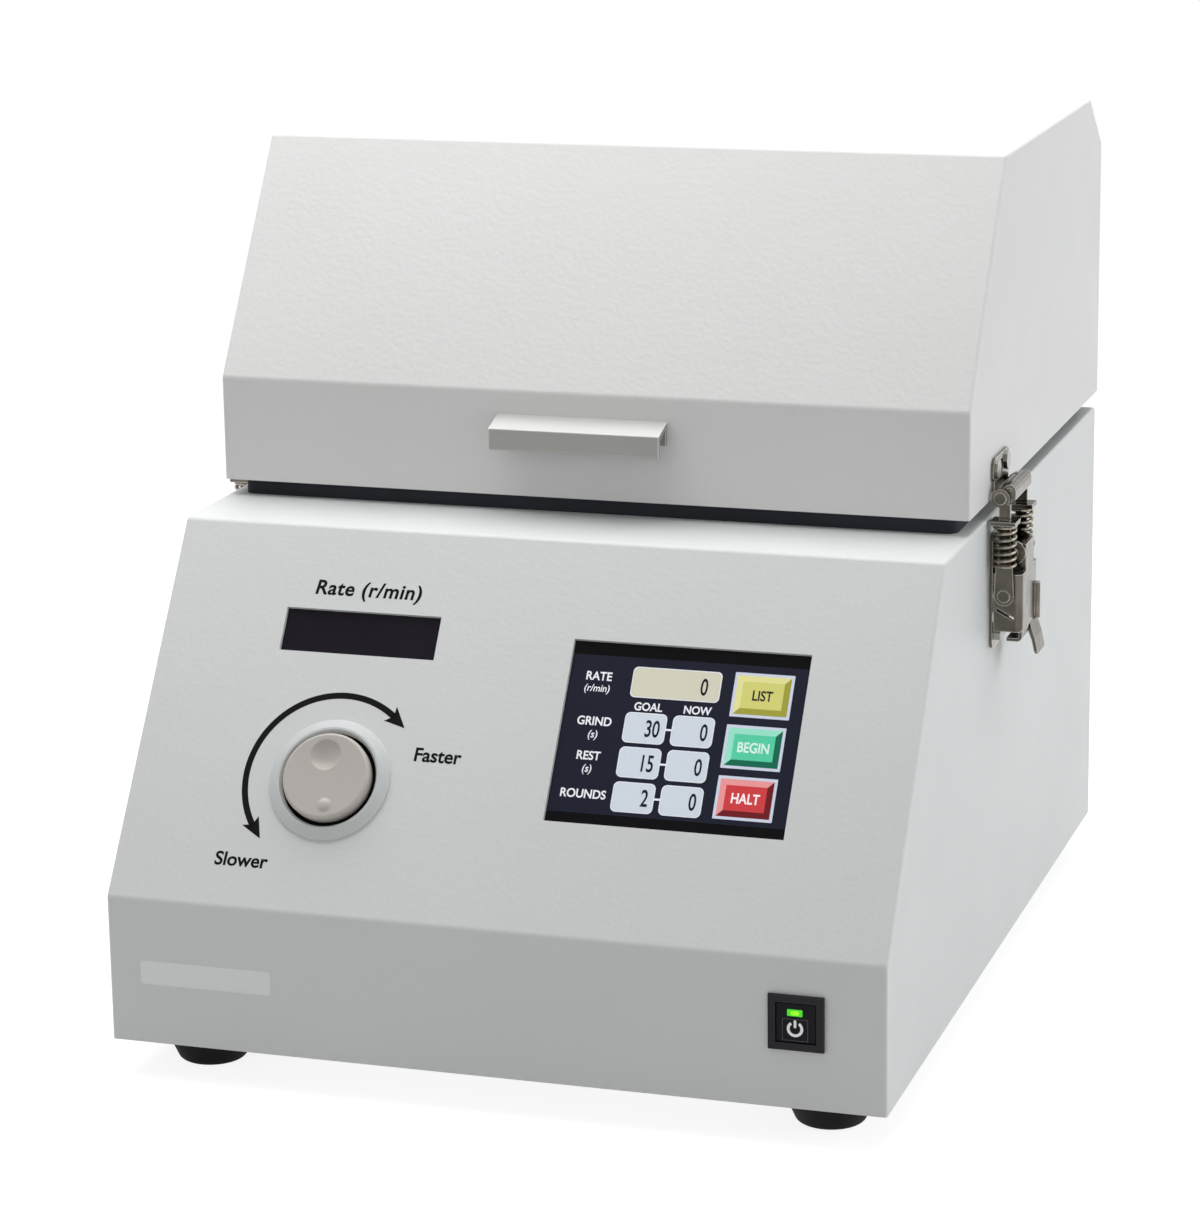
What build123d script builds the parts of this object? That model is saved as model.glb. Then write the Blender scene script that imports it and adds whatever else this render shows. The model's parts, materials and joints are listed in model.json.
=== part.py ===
from build123d import *
from math import atan2, cos, pi, radians, sin
import os

# Bench-top analytical mill: a folded steel case with a sloping control panel, a hinged
# lid held by two spring draw latches, and a well in which a tilted hub nutates a holder
# with three jars. Millimetres, X to the right, Y to the back, Z up. The origin is on the
# bench, under the middle of the overall box.

os.makedirs("parts", exist_ok=True)

# ---------------------------------------------------------------- driving dimensions
# Case
width = 270.0
base_depth = 337.5
base_height = 164.0
front_height = 51.0
slope_run = 79.7
sheet = 1.6
fold_radius = 2.5
side_radius = 1.1
tray_bevel = 1.2
nest_gap = 0.2
foot_height = 13.0
flange = 12.0
hole_play = 0.3

# Lid
lid_gap = 5.8
lid_set_back = 114.7
lid_front_height = 37.0
lid_slant_run = 54.4
lid_height = 116.0
lid_chamfer_run = 23.7
lid_chamfer_drop = 19.5
lid_overhang = 5.5
lid_sheet = 2.0
lid_return = 13.0
liner_thickness = 6.0
liner_bevel = 1.5
liner_gap = 0.3

# Lid hinges
hinge_spacing = 170.0
hinge_length = 50.0
hinge_leaf = 1.2
hinge_drop = 30.0
hinge_pin_radius = 1.3
hinge_barrel_wall = 1.2
hinge_play = 0.1

# Pull handle: heights are above the lid's lower edge
handle_length = 61.2
handle_depth = 10.5
handle_offset = -1.3
handle_wall = 1.8
handle_back_bottom = 20.6
handle_back_top = 28.7
handle_front_bottom = 18.2
handle_front_top = 25.6
handle_rounding = 0.5

# Sloping panel: places are across the panel and up it from its lower bend
screen_opening = (82.0, 64.0)
screen_centre = (54.0, 71.0)
screen_glass = 1.8
screen_seat = 3.0
screen_body_depth = 30.0
meter_opening = (56.0, 15.7)
meter_centre = (-63.1, 99.7)
meter_lens = 1.5
meter_lip = 2.5
meter_depth = 34.0
knob_centre = (-63.5, 46.8)
bezel_radius = 21.3
bezel_height = 2.6
bezel_edge = 0.9
bezel_lip = 0.4
knob_sides = 40
knob_radius = 15.6
knob_rise = 5.0
knob_gap = 1.0
knob_skirt = 2.6
knob_lift = 0.5
dimple_radius = 5.4
dimple_place = 7.4
dimple_angle = 100.0
nub_radius = 2.4
nub_height = 0.8
nub_place = 10.4
encoder_shaft_radius = 3.0
encoder_bush_radius = 4.5
encoder_size = 16.0
encoder_depth = 8.0
encoder_nut = 13.0
encoder_nut_height = 1.8

# Push-button switch on the upright front strip
switch_centre = (105.2, 29.5)
switch_size = 18.6
switch_proud = 1.2
switch_body = 16.4
switch_body_depth = 24.0
button_size = 13.4
button_travel = 2.5
button_height = 10.0
button_play = 0.15

# Draw latches: heights are above the top of the base
latch_set_back = 160.0
latch_width = 26.0
latch_plate = 1.2
latch_low = -47.2
latch_high = -6.0
latch_ear_y = 7.4
latch_pivot = (7.5, -13.5)
latch_rivet = (5.5, -27.5)
latch_pin_radius = 1.5
latch_pin_play = 0.05
rivet_head_radius = 2.2
rivet_head = 0.7
latch_screw_low = (7.0, -42.0)
latch_screw_high = -24.0
lever_low = -40.5
lever_high = -20.0
lever_web = 10.3
lever_inner = 1.6
lever_fold = 2.2
lever_tube_radius = 1.3
lever_tube_length = 13.0
tongue_reach = 14.6
tongue_low = -51.8
link_gap = 0.3
spring_low = -17.2
spring_high = -2.0
spring_radius = 3.8
spring_wire = 1.3
spring_turns = 6.5
coil_sides = 8
seat_height = 1.5
hook_rivet = (3.9, 7.0)
eye_radius = 3.3
claw_web = 8.4
claw_web_low = 6.5
claw_tip = 5.1
claw_tip_drop = 0.6
claw_top = 9.4
keeper_low = 9.2
keeper_lip = 3.5
keeper_lip_rise = 0.9
keeper_step = 2.3
keeper_plate = 8.5
keeper_corner = 3.6
keeper_screw_y = 7.8
keeper_slot = (3.0, 4.6)

# Well
mill_set_back = 229.0
well_half_x = 95.0
well_half_y = 84.0
well_floor = 78.0
well_sheet = 1.2
well_corner = 24.0
well_rim = 9.0
gasket_width = 9.0
gasket_margin_x = 1.0
gasket_front_margin = 1.3
gasket_back_margin = 3.5
gasket_corner = 2.0
gasket_squeeze = 0.4

# Drive
tilt = 6.0
pivot_height = 112.0
shaft_radius = 6.0
shaft_top = 97.0
run_play = 0.05
shield_play = 0.15
journal_radius = 15.0
journal_half = 12.6
shoulder_radius = 18.0
shoulder_height = 4.0
collar_radius = 13.0
collar_low = 85.0
balance_radius = 24.0
balance_height = 6.5
race_inner = 3.2
race_outer = 23.5
race_width = 9.0
race_place = 8.0
motor_radius = 42.0
motor_height = 46.0
motor_flange = 90.0
motor_flange_height = 6.0
motor_boss_radius = 15.0
mount_plate = (170.0, 116.0)
mount_plate_thickness = 4.0
mount_plate_height = 66.0
pillar_spacing = (140.0, 88.0)
pillar_radius = 7.0
rubber_radius = 11.0
rubber_height = 12.0
seal_radius = 14.0
seal_height = 8.0

# Jar holder, clamp and jars, measured along the tilted axis from the nutation centre
holder_radius = 72.0
holder_top = 2.0
holder_plate = 6.0
bearing_house_radius = 30.0
bearing_house_half = 13.0
jar_count = 3
jar_circle = 50.0
jar_radius = 18.0
jar_height = 60.0
jar_wall = 2.2
jar_floor = 3.0
cup_wall = 2.9
cup_top = 12.0
cup_bottom = -22.0
cup_floor = 3.0
cap_radius = 20.4
cap_overlap = 9.0
cap_head = 7.0
cap_grips = 12
stud_radius = 6.0
stud_flange = 3.0
stud_top = 70.0
clamp_thickness = 5.0
clamp_arm_radius = 10.0
clamp_gap = 0.1
knob_lobes = 5
clamp_knob_radius = 21.0
clamp_knob_height = 19.0
arm_width = 12.0
arm_reach = 80.0
roller_radius = 5.0
roller_start = 82.0
roller_length = 8.0
roller_pin_radius = 2.5
fork_gap = 0.5
fork_jaw = 3.6
fork_half_height = 17.0
fork_plate = 2.5

# Rear panel fittings
fan_size = 60.0
fan_thickness = 15.0
fan_bore = 28.5
fan_place = (-70.0, 52.0)
fan_blades = 7
fan_hub = 15.0
fan_play = 1.2
guard_wire = 1.5
guard_stand = 3.0
inlet_place = (82.0, 46.0)
inlet_flange = (34.0, 52.0)
inlet_flange_thickness = 2.8
inlet_body = (28.0, 46.0)
inlet_depth = 27.0
socket_size = (24.2, 16.4)
socket_depth = 16.0
socket_rise = 8.5
drawer_size = (20.0, 9.0)
drawer_drop = 14.0
drawer_depth = 20.0
drawer_play = 0.25

# Inside the base
supply_size = (62.0, 140.0, 38.0)
supply_place = (-92.0, 106.0)
board_size = (104.0, 84.0)
board_place = (60.0, 70.0)
board_thickness = 1.6
board_rise = 8.0
sensor_place = (60.0, 127.0)
sensor_size = (24.0, 9.0, 7.0)
magnet_size = (16.0, 6.0, 4.0)

# Feet and screws
foot_radius = 14.0
foot_taper = 4.4
foot_inset_x = 25.25
foot_inset_y = 26.5
foot_recess = 5.2
foot_recess_depth = 4.0
screw_head_radius = 3.3
screw_head_height = 2.2
low_head = 0.9
screw_shank_radius = 1.9
screw_length = 7.0
screw_sides = 6
small_sides = 14
round_sides = 24
bend_steps = 6

# ---------------------------------------------------------------- derived places
overall_depth = switch_proud + base_depth + lid_overhang
front_y = -overall_depth / 2 + switch_proud
back_y = front_y + base_depth
floor_z = foot_height
top_z = floor_z + base_height
half_width = width / 2
lid_bottom = top_z + lid_gap
lid_top = lid_bottom + lid_height
lid_front_y = front_y + lid_set_back
lid_back_y = back_y + lid_overhang
mill_y = front_y + mill_set_back

slope_angle = atan2(base_height - front_height, slope_run)
panel = Plane(
    origin=(0, front_y, floor_z + front_height),
    x_dir=(1, 0, 0),
    z_dir=(0, -sin(slope_angle), cos(slope_angle)),
)
front = Plane(origin=(0, front_y, floor_z), x_dir=(1, 0, 0), z_dir=(0, -1, 0))
rear = Plane(origin=(0, back_y, floor_z), x_dir=(-1, 0, 0), z_dir=(0, 1, 0))
tilted = Plane(
    origin=(0, mill_y, floor_z + pivot_height),
    x_dir=(1, 0, 0),
    z_dir=(0, -sin(radians(tilt)), cos(radians(tilt))),
)
# A latch is drawn on the right side: outward and up in latch_section, back and up on side
side = Plane(origin=(half_width, front_y + latch_set_back, top_z), x_dir=(0, 1, 0), z_dir=(1, 0, 0))
latch_section = Plane(
    origin=(half_width, front_y + latch_set_back, top_z), x_dir=(1, 0, 0), z_dir=(0, -1, 0)
)


def on(plane, place, out=0.0):
    """The plane moved to a place on itself and out along its normal."""
    return plane.shift_origin(plane.from_local_coords((place[0], place[1], 0))).offset(out)


def disc(plane, radius, height, mode=Mode.ADD):
    """A round pad on the plane."""
    with BuildSketch(plane) as outline:
        Circle(radius)
    extrude(outline.sketch, amount=height, mode=mode)


def ring(plane, outer, inner, height):
    """A many-sided collar on the plane."""
    with BuildSketch(plane) as outline:
        RegularPolygon(outer, round_sides)
        RegularPolygon(inner, round_sides, mode=Mode.SUBTRACT)
    extrude(outline.sketch, amount=height)


def around(radius, sides):
    """The corner radius of a many-sided hole whose flats touch a round pin."""
    return radius / cos(pi / sides)


def slab(plane, size, height, corner=0.0, mode=Mode.ADD):
    """A rectangular pad on the plane, its upright corners rounded."""
    with BuildSketch(plane) as outline:
        if corner:
            RectangleRounded(size[0], size[1], corner)
        else:
            Rectangle(*size)
    extrude(outline.sketch, amount=height, mode=mode)


def frame_of(plane, outer, inner, height, outer_corner, inner_corner):
    """A rectangular ring on the plane."""
    with BuildSketch(plane) as outline:
        RectangleRounded(outer[0], outer[1], outer_corner)
        RectangleRounded(inner[0], inner[1], inner_corner, mode=Mode.SUBTRACT)
    extrude(outline.sketch, amount=height)


def holes(planes, radius, reach):
    """Round holes through what lies within reach of each plane."""
    for plane in planes:
        disc(plane.offset(-reach), radius, 2 * reach, Mode.SUBTRACT)


def prism(plane, radius, height, sides, mode=Mode.ADD):
    """A many-sided pad on the plane, its corners on the radius."""
    with BuildSketch(plane) as outline:
        RegularPolygon(radius, sides)
    extrude(outline.sketch, amount=height, mode=mode)


def screw_holes(planes, reach, radius=None):
    """Punched clearance holes for small screws, drawn with few sides."""
    for plane in planes:
        prism(plane.offset(-reach), radius or screw_hole, 2 * reach, screw_sides, Mode.SUBTRACT)


def round_outside(is_raw):
    """Rounds a sheet cover's folds and then the edges of its two sides, leaving the cut edges."""
    folds = [edge for edge in edges().filter_by(Axis.X) if edge.length > width - 0.01]
    fillet([edge for edge in folds if not is_raw(edge.center())], fold_radius)
    sides = [edge for edge in edges() if abs(abs(edge.center().X) - half_width) < 0.01]
    fillet([edge for edge in sides if not is_raw(edge.center())], side_radius)


def tray(corner, size, wall, bevel, opening):
    """A folded tray of sheet, open on one side."""
    with BuildSketch(Plane.XY.offset(corner[2])) as outline:
        with Locations((corner[0] + size[0] / 2, corner[1] + size[1] / 2)):
            Rectangle(size[0], size[1])
    extrude(outline.sketch, amount=size[2])
    axis, end = opening
    mouth = faces().sort_by(axis)[end]
    rim = mouth.edges()
    chamfer([edge for edge in edges() if edge not in rim], bevel)
    offset(amount=-wall, openings=faces().sort_by(axis)[end])


def finish(piece, name):
    """Labels a piece and writes its file."""
    piece.part.label = name
    export_step(piece.part, f"parts/{name}.step")


def finish_pair(piece, name):
    """Writes the right-hand piece and its mirror image."""
    finish(piece, f"{name}_right")
    with BuildPart() as left:
        mirror(piece.part, about=Plane.YZ)
    finish(left, f"{name}_left")


def other_side(plane):
    """The place opposite a place on the right side of the case."""
    return Plane(
        origin=(-plane.origin.X, plane.origin.Y, plane.origin.Z),
        x_dir=(0, 1, 0),
        z_dir=(-plane.z_dir.X, 0, 0),
    )


# ---------------------------------------------------------------- fastener places
screw_hole = screw_shank_radius + hole_play / 2
latch_screw_y, latch_screw_z = latch_screw_low
latch_screws = [
    on(side, place)
    for place in ((-latch_screw_y, latch_screw_z), (latch_screw_y, latch_screw_z), (0.0, latch_screw_high))
]
latch_screws += [other_side(plane) for plane in latch_screws]
keeper_shoulder = keeper_low + keeper_step
keeper_high = keeper_shoulder + keeper_plate
keeper_screw_z = keeper_shoulder + keeper_plate / 2
keeper_screws = [on(side, (y, keeper_screw_z)) for y in (-keeper_screw_y, keeper_screw_y)]
keeper_screws += [other_side(plane) for plane in keeper_screws]
hinge_x = [-hinge_spacing / 2, hinge_spacing / 2]
leaf_screw_x = [x + step for x in hinge_x for step in (-hinge_length / 3, hinge_length / 3)]
leaf_screw_drop = hinge_drop * 0.62
base_leaf_screws = [on(rear, (-x, base_height - leaf_screw_drop)) for x in leaf_screw_x]
lid_leaf_screws = [
    Plane(
        origin=(x, lid_back_y - lid_sheet, lid_bottom + leaf_screw_drop),
        x_dir=(1, 0, 0),
        z_dir=(0, -1, 0),
    )
    for x in leaf_screw_x
]
panel_edge = flange / 2 + sheet
rear_screws = [
    on(rear, (x, z))
    for x in (-half_width + panel_edge, half_width - panel_edge)
    for z in (panel_edge + fold_radius, base_height * 0.4, base_height * 0.7)
]
handle_screw_z = lid_bottom + (handle_back_bottom + handle_back_top) / 2 - handle_wall / 2
handle_screws = [
    Plane(origin=(x, lid_front_y + lid_sheet, handle_screw_z), x_dir=(-1, 0, 0), z_dir=(0, 1, 0))
    for x in (handle_offset - handle_length / 3, handle_offset + handle_length / 3)
]
foot_x = half_width - foot_inset_x
foot_places = [
    (x, y) for x in (-foot_x, foot_x) for y in (front_y + foot_inset_y, back_y - foot_inset_y)
]
foot_screw_radius = 2.5
foot_screw_grip = 5.0
pillar_places = [
    (x, mill_y + y)
    for x in (-pillar_spacing[0] / 2, pillar_spacing[0] / 2)
    for y in (-pillar_spacing[1] / 2, pillar_spacing[1] / 2)
]
fan_step = fan_size / 2 - 5.0
fan_corners = [(x, y) for x in (-fan_step, fan_step) for y in (-fan_step, fan_step)]
fan_mouth = on(rear, fan_place)
inlet_mouth = on(rear, inlet_place)

# ---------------------------------------------------------------- case
with BuildPart() as base_housing:
    with BuildSketch(Plane.YZ):
        with BuildLine():
            Polyline(
                (front_y, floor_z),
                (front_y, floor_z + front_height),
                (front_y + slope_run, top_z),
                (back_y, top_z),
                (back_y, floor_z),
                close=True,
            )
        make_face()
    extrude(amount=half_width, both=True)
    offset(amount=-sheet, openings=[faces().sort_by(Axis.Z)[0], faces().sort_by(Axis.Y)[-1]])
    round_outside(lambda place: place.Z < floor_z + 0.01 or place.Y > back_y - 0.01)
    through = 2 * sheet
    slab(on(panel, screen_centre, -through), screen_opening, 2 * through, mode=Mode.SUBTRACT)
    slab(on(panel, meter_centre, -through), meter_opening, 2 * through, mode=Mode.SUBTRACT)
    bush_hole = on(panel, knob_centre, -through)
    prism(bush_hole, encoder_bush_radius + hole_play, 2 * through, round_sides, Mode.SUBTRACT)
    switch_hole = switch_body + 2 * hole_play
    slab(on(front, switch_centre, -through), (switch_hole, switch_hole), 2 * through, mode=Mode.SUBTRACT)
    well_play = well_sheet + hole_play
    slab(
        Plane((0, mill_y, top_z - through)),
        (2 * (well_half_x + well_play), 2 * (well_half_y + well_play)),
        2 * through,
        well_corner + well_play,
        Mode.SUBTRACT,
    )
    screw_holes(latch_screws, through)
finish(base_housing, "base_housing")

inside_width = width - 2 * (sheet + nest_gap)
with BuildPart() as bottom_plate:
    tray(
        (-inside_width / 2, front_y + sheet + nest_gap, floor_z),
        (inside_width, base_depth - 2 * (sheet + nest_gap), flange),
        sheet,
        tray_bevel,
        (Axis.Z, -1),
    )
    screw_holes([Plane((x, y, floor_z)) for x, y in foot_places], through, foot_screw_radius + hole_play)
    screw_holes(rear_screws, flange)
    vent_count = 9
    with BuildSketch(Plane.XY.offset(floor_z - sheet)) as vents:
        with Locations((supply_place[0], front_y + supply_place[1])):
            with GridLocations(0, 12.0, 1, vent_count):
                Rectangle(44.0, 3.2)
    extrude(vents.sketch, amount=through * 2, mode=Mode.SUBTRACT)
finish(bottom_plate, "bottom_plate")

with BuildPart() as rear_panel:
    rear_height = top_z - sheet - nest_gap - floor_z
    tray(
        (-inside_width / 2, back_y - flange, floor_z + sheet + nest_gap),
        (inside_width, flange, rear_height - sheet - nest_gap),
        sheet,
        tray_bevel,
        (Axis.Y, 0),
    )
    prism(fan_mouth.offset(-through), fan_bore, 2 * through, round_sides, Mode.SUBTRACT)
    screw_holes([on(fan_mouth, place) for place in fan_corners], through)
    inlet_hole = (inlet_body[0] + 2 * hole_play, inlet_body[1] + 2 * hole_play)
    slab(inlet_mouth.offset(-through), inlet_hole, 2 * through, mode=Mode.SUBTRACT)
    screw_holes(rear_screws + base_leaf_screws, through)
    with BuildSketch(rear.offset(-through)) as vents:
        with Locations((0, base_height * 0.62)):
            with GridLocations(9.0, 0, vent_count, 1):
                Rectangle(3.2, 34.0)
    extrude(vents.sketch, amount=2 * through, mode=Mode.SUBTRACT)
    # The bottom plate's rear flange nests inside this panel
    with BuildSketch(Plane.XY.offset(floor_z)) as clear:
        with Locations((0, back_y - flange)):
            Rectangle(width, 2 * (flange - sheet))
    extrude(clear.sketch, amount=flange + sheet + 2 * nest_gap, mode=Mode.SUBTRACT)
finish(rear_panel, "rear_panel")

with BuildPart() as feet:
    for x, y in foot_places:
        with BuildSketch(Plane((x, y, 0))) as tread:
            RegularPolygon(foot_radius - foot_taper, round_sides)
        with BuildSketch(Plane((x, y, foot_height))) as crown:
            RegularPolygon(foot_radius, round_sides)
        loft([tread.sketch, crown.sketch])
        prism(Plane((x, y, -1)), foot_recess, foot_recess_depth + 1, screw_sides, Mode.SUBTRACT)
        prism(Plane((x, y, 0)), foot_screw_radius + 0.05, foot_height, screw_sides, Mode.SUBTRACT)
finish(feet, "feet")

with BuildPart() as foot_screws:
    for x, y in foot_places:
        prism(Plane((x, y, foot_recess_depth - 2.6)), 4.5, 2.6, screw_sides)
        shank = foot_height + foot_screw_grip - foot_recess_depth
        prism(Plane((x, y, foot_recess_depth)), foot_screw_radius, shank, screw_sides)
finish(foot_screws, "foot_screws")

# ---------------------------------------------------------------- lid
lid_outline = [
    (lid_front_y, lid_bottom),
    (lid_front_y, lid_bottom + lid_front_height),
    (lid_front_y + lid_slant_run, lid_top),
    (lid_back_y - lid_chamfer_run, lid_top),
    (lid_back_y, lid_top - lid_chamfer_drop),
    (lid_back_y, lid_bottom),
]
with BuildPart() as lid_shell:
    with BuildSketch(Plane.YZ):
        with BuildLine():
            Polyline(*lid_outline, close=True)
        make_face()
    extrude(amount=half_width, both=True)
    offset(amount=-lid_sheet, openings=faces().sort_by(Axis.Z)[0])
    round_outside(lambda place: place.Z < lid_bottom + 0.01)
    # Inward return along the front and the sides
    with BuildSketch(Plane.XY.offset(lid_bottom)) as lid_returns:
        inner_half = half_width - lid_sheet
        inner_front = lid_front_y + lid_sheet
        inner_back = lid_back_y - lid_sheet - hinge_drop / 2
        with BuildLine():
            Polyline(
                (-inner_half - 0.5, inner_front - 0.5),
                (inner_half + 0.5, inner_front - 0.5),
                (inner_half + 0.5, inner_back),
                (inner_half - lid_return, inner_back),
                (inner_half - lid_return, inner_front + lid_return),
                (-inner_half + lid_return, inner_front + lid_return),
                (-inner_half + lid_return, inner_back),
                (-inner_half - 0.5, inner_back),
                close=True,
            )
        make_face()
    extrude(lid_returns.sketch, amount=lid_sheet)
    screw_holes(keeper_screws + lid_leaf_screws + handle_screws, 2 * lid_sheet)
finish(lid_shell, "lid_shell")

liner_out = lid_sheet + liner_gap
with BuildPart() as lid_liner:
    with BuildSketch(Plane.YZ) as liner_side:
        with BuildLine():
            Polyline(*lid_outline, close=True)
        make_face()
        offset(amount=-liner_out, kind=Kind.INTERSECTION)
    extrude(liner_side.sketch, amount=half_width - liner_out, both=True)
    raw_edges = faces().sort_by(Axis.Z)[0].edges()
    chamfer([edge for edge in edges() if edge not in raw_edges], liner_bevel)
    offset(amount=-liner_thickness, openings=faces().sort_by(Axis.Z)[0])
    # The foam stops above the hinge leaves at the back
    with BuildSketch(Plane.XY.offset(lid_bottom)) as leaf_room:
        with Locations((0, lid_back_y)):
            Rectangle(width, 2 * (lid_sheet + hinge_leaf + 2.5 * screw_head_height))
    extrude(leaf_room.sketch, amount=hinge_drop + 2 * liner_gap, mode=Mode.SUBTRACT)
    screw_holes(handle_screws, screw_head_height + 1.0, screw_head_radius + 1.0)
finish(lid_liner, "lid_liner")

with BuildPart() as lid_handle:
    out = lid_front_y - handle_depth
    with BuildSketch(Plane.YZ.offset(handle_offset)) as grip:
        with BuildLine():
            Polyline(
                (lid_front_y, lid_bottom + handle_back_bottom),
                (lid_front_y, lid_bottom + handle_back_top),
                (out, lid_bottom + handle_front_top),
                (out, lid_bottom + handle_front_bottom),
                (out + handle_wall, lid_bottom + handle_front_bottom),
                (out + handle_wall, lid_bottom + handle_front_top - handle_wall),
                (lid_front_y - handle_wall, lid_bottom + handle_back_top - handle_wall),
                (lid_front_y - handle_wall, lid_bottom + handle_back_bottom),
                close=True,
            )
        make_face()
    extrude(grip.sketch, amount=handle_length / 2, both=True)
    grip_edges = edges().filter_by(Axis.X)
    fillet(grip_edges.sort_by(Axis.Y)[:3], handle_rounding)
    screw_holes(handle_screws, lid_sheet + handle_wall)
finish(lid_handle, "lid_handle")

with BuildPart() as lid_gasket:
    gasket_half = half_width - gasket_margin_x
    gasket_front = lid_set_back + gasket_front_margin
    gasket_back = base_depth - gasket_back_margin
    gasket_depth = gasket_back - gasket_front
    frame_of(
        Plane((0, front_y + (gasket_front + gasket_back) / 2, top_z)),
        (2 * gasket_half, gasket_depth),
        (2 * (gasket_half - gasket_width), gasket_depth - 2 * gasket_width),
        lid_gap - gasket_squeeze,
        gasket_corner,
        gasket_corner,
    )
finish(lid_gasket, "lid_gasket")

# ---------------------------------------------------------------- lid hinges
barrel_radius = hinge_pin_radius + hinge_play + hinge_barrel_wall
hinge_y = back_y + (lid_overhang - lid_sheet) / 2
hinge_z = top_z + lid_gap / 2
barrel_split = [-0.5, -0.17, 0.17, 0.5]
knuckle_gap = 0.2


def knuckle(x, start, end):
    """A hinge barrel between two shares of the hinge's length."""
    low = x + hinge_length * start + (knuckle_gap if start > -0.5 else 0)
    high = x + hinge_length * end - (knuckle_gap if end < 0.5 else 0)
    plane = Plane(origin=(low, hinge_y, hinge_z), x_dir=(0, 1, 0), z_dir=(1, 0, 0))
    prism(plane, barrel_radius, high - low, small_sides)


def leaf(x, outer_y, low, high):
    """A hinge leaf's flat plate with its outer face at outer_y."""
    with BuildSketch(Plane(origin=(x, outer_y, (low + high) / 2), x_dir=(1, 0, 0), z_dir=(0, -1, 0))) as plate:
        Rectangle(hinge_length, high - low)
    extrude(plate.sketch, amount=hinge_leaf)


with BuildPart() as hinge_base_leaves:
    for x in hinge_x:
        leaf(x, back_y + hinge_leaf, top_z - hinge_drop, hinge_z)
        with BuildSketch(Plane(origin=(x, hinge_y, hinge_z), x_dir=(1, 0, 0), z_dir=(0, -1, 0))) as middle:
            Rectangle(hinge_length * 0.34, 2 * (barrel_radius + knuckle_gap))
        extrude(middle.sketch, amount=3 * barrel_radius, both=True, mode=Mode.SUBTRACT)
        knuckle(x, barrel_split[0], barrel_split[1])
        knuckle(x, barrel_split[2], barrel_split[3])
        bore = Plane(origin=(x, hinge_y, hinge_z), z_dir=(1, 0, 0))
        holes([bore], hinge_pin_radius, hinge_length)
    screw_holes(base_leaf_screws, through)
finish(hinge_base_leaves, "hinge_base_leaves")

with BuildPart() as hinge_lid_leaves:
    for x in hinge_x:
        leaf(x, lid_back_y - lid_sheet, hinge_z, lid_bottom + hinge_drop)
        for end in (-1, 1):
            centre = x + end * hinge_length * 0.335
            with BuildSketch(
                Plane(origin=(centre, hinge_y, hinge_z), x_dir=(1, 0, 0), z_dir=(0, -1, 0))
            ) as outer_end:
                Rectangle(hinge_length * 0.33 + 2 * knuckle_gap, 2 * (barrel_radius + knuckle_gap))
            extrude(outer_end.sketch, amount=3 * barrel_radius, both=True, mode=Mode.SUBTRACT)
        knuckle(x, barrel_split[1], barrel_split[2])
        bore = Plane(origin=(x, hinge_y, hinge_z), z_dir=(1, 0, 0))
        holes([bore], hinge_pin_radius + hinge_play / 2, hinge_length)
    screw_holes(lid_leaf_screws, 2 * lid_sheet)
finish(hinge_lid_leaves, "hinge_lid_leaves")

with BuildPart() as hinge_pins:
    for x in hinge_x:
        disc(
            Plane(origin=(x - hinge_length / 2, hinge_y, hinge_z), z_dir=(1, 0, 0)),
            hinge_pin_radius,
            hinge_length,
        )
finish(hinge_pins, "hinge_pins")

# ---------------------------------------------------------------- draw latches
half_latch = latch_width / 2


def across(low, high, section, mode=Mode.ADD):
    """Extrudes a sketch in the latch's section over a band of its width, on both halves."""
    for start, end in ((low, high), (-high, -low)):
        extrude(section.moved(Location((0, start, 0))), amount=-(end - start), mode=mode)


def section_profile(*points):
    """A closed outline in the latch's section."""
    with BuildSketch(latch_section) as outline:
        with BuildLine():
            Polyline(*points, close=True)
        make_face()
    return outline.sketch


def section_disc(centre, radius):
    """A circle in the latch's section, for a pin or its hole."""
    with BuildSketch(latch_section) as outline:
        with Locations(centre):
            Circle(radius)
    return outline.sketch


def section_head(centre, radius):
    """A many-sided rivet head or eye in the latch's section."""
    with BuildSketch(latch_section) as outline:
        with Locations(centre):
            RegularPolygon(radius, small_sides)
    return outline.sketch


def bend_points(centre, radius, start, end):
    """Points along a bend in the latch's section, from one angle to another."""
    turns = [radians(start + (end - start) * step / bend_steps) for step in range(bend_steps + 1)]
    return [(centre[0] + radius * cos(turn), centre[1] + radius * sin(turn)) for turn in turns]


def section_hull(centre, radius, *points):
    """A rounded ear in the latch's section, from a circle to a few points."""
    with BuildSketch(latch_section) as outline:
        with Locations(centre):
            RegularPolygon(radius, small_sides)
        with Locations(*points):
            Rectangle(0.1, 0.1)
        make_hull()
    return outline.sketch


ear_inner = latch_ear_y - latch_plate / 2
ear_outer = latch_ear_y + latch_plate / 2
neck_outer = ear_inner - link_gap
pivot_ear_radius = 4.2
with BuildPart() as latch_base:
    slab(
        on(side, (0, (latch_low + latch_high) / 2)),
        (latch_width, latch_high - latch_low),
        latch_plate,
        3.0,
    )
    ear = section_hull(latch_pivot, pivot_ear_radius, (0.4, latch_high - 1), (0.4, latch_pivot[1] - 8))
    across(ear_inner, ear_outer, ear)
    across(0, ear_outer + 1, section_disc(latch_pivot, latch_pin_radius + latch_pin_play), Mode.SUBTRACT)
    screw_holes(latch_screws[:3], 2 * sheet)
finish_pair(latch_base, "latch_base")

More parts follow.
